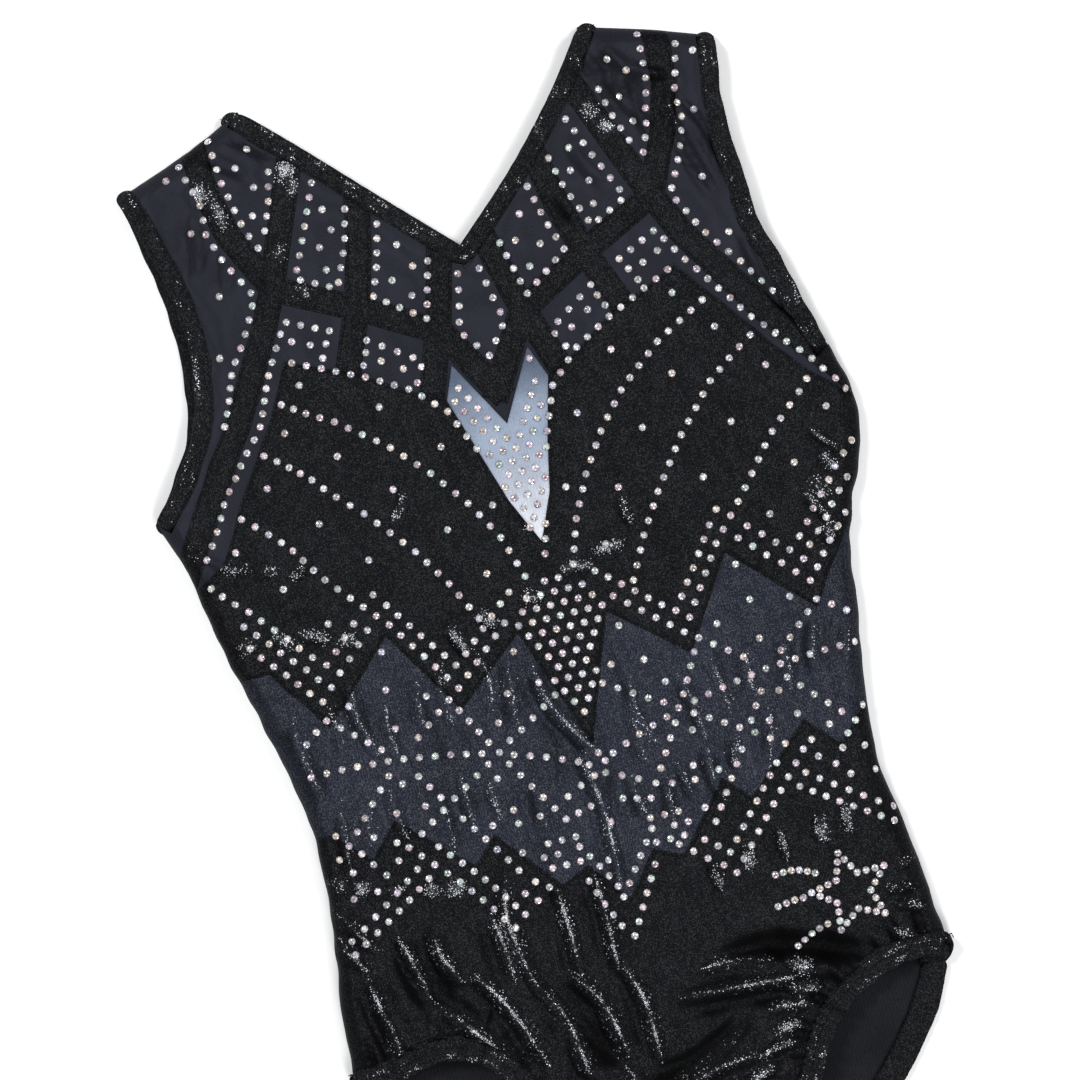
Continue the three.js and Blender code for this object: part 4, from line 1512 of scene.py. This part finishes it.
class LEOTARD_OT_elastics(bpy.types.Operator):
    """Lay the elastic tapes inside the bindings and hems"""

    bl_idname = "leotard.elastics"
    bl_label = "Elastic tapes"

    def execute(self, context):
        sizes, colours = context.scene.leotard_sizes, context.scene.leotard_colours
        tape = plain_knit("Elastic", colours.elastic, 0.8, 900.0)
        for name, (_, sign) in OPENINGS.items():
            front, back = edges_of(name)
            line, into, half = opening_loop(front, back, sign, sizes)
            is_leg = name.endswith("leg")
            width = (sizes.hem if is_leg else sizes.binding) / MM
            margin, bend = 5, 3  # points left free at a tape's end, and points round an end of the fold
            runs = {
                "front": slice(margin, half - margin),
                "back": slice(half + bend + margin, len(line) - bend - margin),
            }
            section = np.array([(width - 2.6, 0.0), (width / 2, 0.04), (1.6, 0.0)])
            for layer, run in runs.items():
                points, faces, *_ = swept(line[run], into[run], section, closed=False, turn=sign)
                cad = f"{name}_elastic_{layer}"
                piece = new_piece(cad + "_tape", metres(points), faces, tape, [cad])
                thicken(piece, 0.00035, offset=0.0)
        return {"FINISHED"}


class LEOTARD_OT_seams(bpy.types.Operator):
    """Join the front to the back at the sides, the shoulders and the crotch"""

    bl_idname = "leotard.seams"
    bl_label = "Seams"

    def execute(self, context):
        sizes, colours = context.scene.leotard_sizes, context.scene.leotard_colours
        black = black_foil(colours)
        runs = [
            ("left_side_seam", PATHS["left"]["side"], 1), ("right_side_seam", PATHS["right"]["side"], -1),
            ("left_shoulder_seam", PATHS["left"]["shoulder"], 1),
            ("right_shoulder_seam", PATHS["right"]["shoulder"], -1), ("crotch_seam", CROTCH_EDGE, -1),
        ]
        for name, path, sign in runs:
            run = along(path, 1.5)
            direction = unit(np.gradient(run, axis=0))
            inward = sign * np.column_stack([direction[:, 1], -direction[:, 0], np.zeros(len(run))])
            middle = sizes.joined_height / MM - 1.05
            line = np.column_stack([run, np.full(len(run), middle)])
            width, half = 5.2, 0.95
            leaf = np.linspace(1, 0.25, 4)
            upper = np.column_stack([leaf * width, half * (0.55 + 0.45 * (1 - leaf))])
            angle = np.linspace(math.pi / 2, -math.pi / 2, 7)[1:-1]
            bend = np.column_stack([
                upper[-1, 0] * (1 - np.cos(angle)) - 0.12 * np.cos(angle), upper[-1, 1] * np.sin(angle)])
            section = np.concatenate([upper, bend, upper[::-1] * (1, -1)])
            points, faces, *_ = swept(line, inward, section, closed=False, turn=sign)
            piece = new_piece(name + "_cloth", metres(points), faces, black, [name])
            # a faint painted sparkle highlight all along the seam
            mark_points(piece, "glint", np.full(len(points), 0.1))
            mark_points(piece, "ridge", np.ones(len(points)))
            thicken(piece, sizes.cloth * 0.7, offset=0.0)
        return {"FINISHED"}


class LEOTARD_OT_inside(bpy.types.Operator):
    """Lay the gusset's lining and the two blank labels inside"""

    bl_idname = "leotard.inside"
    bl_label = "Lining and labels"

    def execute(self, context):
        sizes, colours = context.scene.leotard_sizes, context.scene.leotard_colours
        lining = plain_knit("Gusset knit", colours.lining, 0.85, 1200.0)
        tape = plain_knit("Label satin", colours.label, 0.4, 2600.0)
        for name, material, slot in (
            ("gusset_lining", lining, "lining"), ("care_label", tape, "label_tape"),
            ("size_label", tape, "label_tape"),
        ):
            cloth_panel(
                sizes, name, material, back_face, lift=0.62, dip=0.1, step=1.5, thickness=0.0003)
        return {"FINISHED"}


class LEOTARD_OT_rhinestones(bpy.types.Operator):
    """Set the rhinestones in their rows, fills and starbursts, and the star on the hip"""

    bl_idname = "leotard.rhinestones"
    bl_label = "Rhinestones"

    def execute(self, context):
        whole = front_outline()
        taken = []
        inset = outline("center_inset")
        place_stones(
            context, "rhinestones_inset", packed(inset[0], 5.3), 11, taken, keep_in=inset, margin=1.7)
        areas = (
            ("rhinestones_yoke", YOKE_ROWS, YOKE_SINGLES, None, 5.75, 12),
            ("rhinestones_bodice", BODICE_ROWS, BODICE_SINGLES, BODICE_FILL, 5.95, 13),
            ("rhinestones_midriff", MIDRIFF_ROWS, MIDRIFF_SINGLES, MIDRIFF_FILL, 6.0, 14),
            ("rhinestones_brief", BRIEF_ROWS, BRIEF_SINGLES, BRIEF_FILL, 5.85, 15),
        )
        for name, rows, singles, fill, spacing, seed in areas:
            points = [along(row, spacing) for row in rows] + [np.array(singles, float)]
            if fill:
                points.append(packed(fill, 5.5))
            place_stones(
                context, name, both_halves(np.concatenate(points)), seed, taken, keep_in=whole, least=3.9)
        tails = [along(smooth(tail), 3.2) for tail in STAR_TAILS]
        star = np.concatenate([star_points(STAR_CENTRE, STAR_REACH, 3.05), *tails])
        place_stones(context, "rhinestones_hip_star", star, 16, taken, least=2.85)
        return {"FINISHED"}


class LEOTARD_OT_stage(bpy.types.Operator):
    """Set the ground, the lights and the camera"""

    bl_idname = "leotard.stage"
    bl_label = "Stage"

    def execute(self, context):
        scene, colours = context.scene, context.scene.leotard_colours
        mesh = bpy.data.meshes.new("floor")
        reach = 3.0
        mesh.from_pydata([(-reach, -reach, 0), (reach, -reach, 0), (reach, reach, 0), (-reach, reach, 0)],
                         [], [(0, 1, 2, 3)])
        floor = bpy.data.objects.new("floor", mesh)
        scene.collection.objects.link(floor)
        mesh.materials.append(ground("Pale ground", colours.floor))
        for name, place, size, power in (
            ("Key", (-1.0, 1.0, 1.5), 0.55, 32.0), ("Fill", (1.3, 0.4, 1.3), 0.6, 19.0),
            ("Low", (0.1, -1.4, 1.0), 0.6, 14.0),
        ):
            lamp = bpy.data.lights.new(name, "AREA")
            lamp.energy, lamp.size = power, size
            light = bpy.data.objects.new(name, lamp)
            light.location = place
            light.rotation_euler = (-Vector(place)).to_track_quat("-Z", "Y").to_euler()
            scene.collection.objects.link(light)
        world = bpy.data.worlds.new("Studio")
        world.use_nodes = True
        background = world.node_tree.nodes["Background"]
        background.inputs["Color"].default_value = (0.95, 0.97, 1.0, 1)
        background.inputs["Strength"].default_value = 0.32
        scene.world = world
        scene.view_settings.view_transform = "Standard"
        lens = bpy.data.cameras.new("Camera")
        camera = bpy.data.objects.new("Camera", lens)
        seen, distance, tilt = 0.4147, 1.2, math.radians(-14)
        lens.sensor_width = 36.0
        lens.lens = 36.0 * distance / seen
        lens.clip_end = 20
        target = (NECK_X + 2.4 * MM, NECK_Y - 109.4 * MM)
        camera.location = (*target, distance + 0.009)
        camera.rotation_euler = (0, 0, tilt)
        scene.collection.objects.link(camera)
        scene.camera = camera
        return {"FINISHED"}


class LEOTARD_PT_panel(bpy.types.Panel):
    """The leotard's sizes, colours and steps"""

    bl_idname = "LEOTARD_PT_panel"
    bl_label = "Leotard"
    bl_space_type = "VIEW_3D"
    bl_region_type = "UI"
    bl_category = "Leotard"

    def draw(self, context):
        scene = context.scene
        for title, values in (("Sizes", scene.leotard_sizes), ("Colours", scene.leotard_colours)):
            box = self.layout.box()
            box.label(text=title)
            for name in values.__annotations__:
                box.prop(values, name)
        for step in STEPS:
            self.layout.operator(step.bl_idname)


STEPS = (
    LEOTARD_OT_stage, LEOTARD_OT_back_panels, LEOTARD_OT_inside, LEOTARD_OT_seams, LEOTARD_OT_elastics,
    LEOTARD_OT_front_panels, LEOTARD_OT_lattice, LEOTARD_OT_topstitching, LEOTARD_OT_bindings,
    LEOTARD_OT_rhinestones,
)
CLASSES = (LeotardSizes, LeotardColours, *STEPS, LEOTARD_PT_panel)


def register():
    for made in CLASSES:
        bpy.utils.register_class(made)
    bpy.types.Scene.leotard_sizes = PointerProperty(type=LeotardSizes)
    bpy.types.Scene.leotard_colours = PointerProperty(type=LeotardColours)


def unregister():
    del bpy.types.Scene.leotard_sizes
    del bpy.types.Scene.leotard_colours
    for made in reversed(CLASSES):
        bpy.utils.unregister_class(made)


def main():
    register()
    bpy.ops.leotard.stage()
    bpy.ops.leotard.back_panels()
    bpy.ops.leotard.inside()
    bpy.ops.leotard.seams()
    bpy.ops.leotard.elastics()
    bpy.ops.leotard.front_panels()
    bpy.ops.leotard.lattice()
    bpy.ops.leotard.topstitching()
    bpy.ops.leotard.bindings()
    bpy.ops.leotard.rhinestones()


if __name__ == "__main__":
    main()
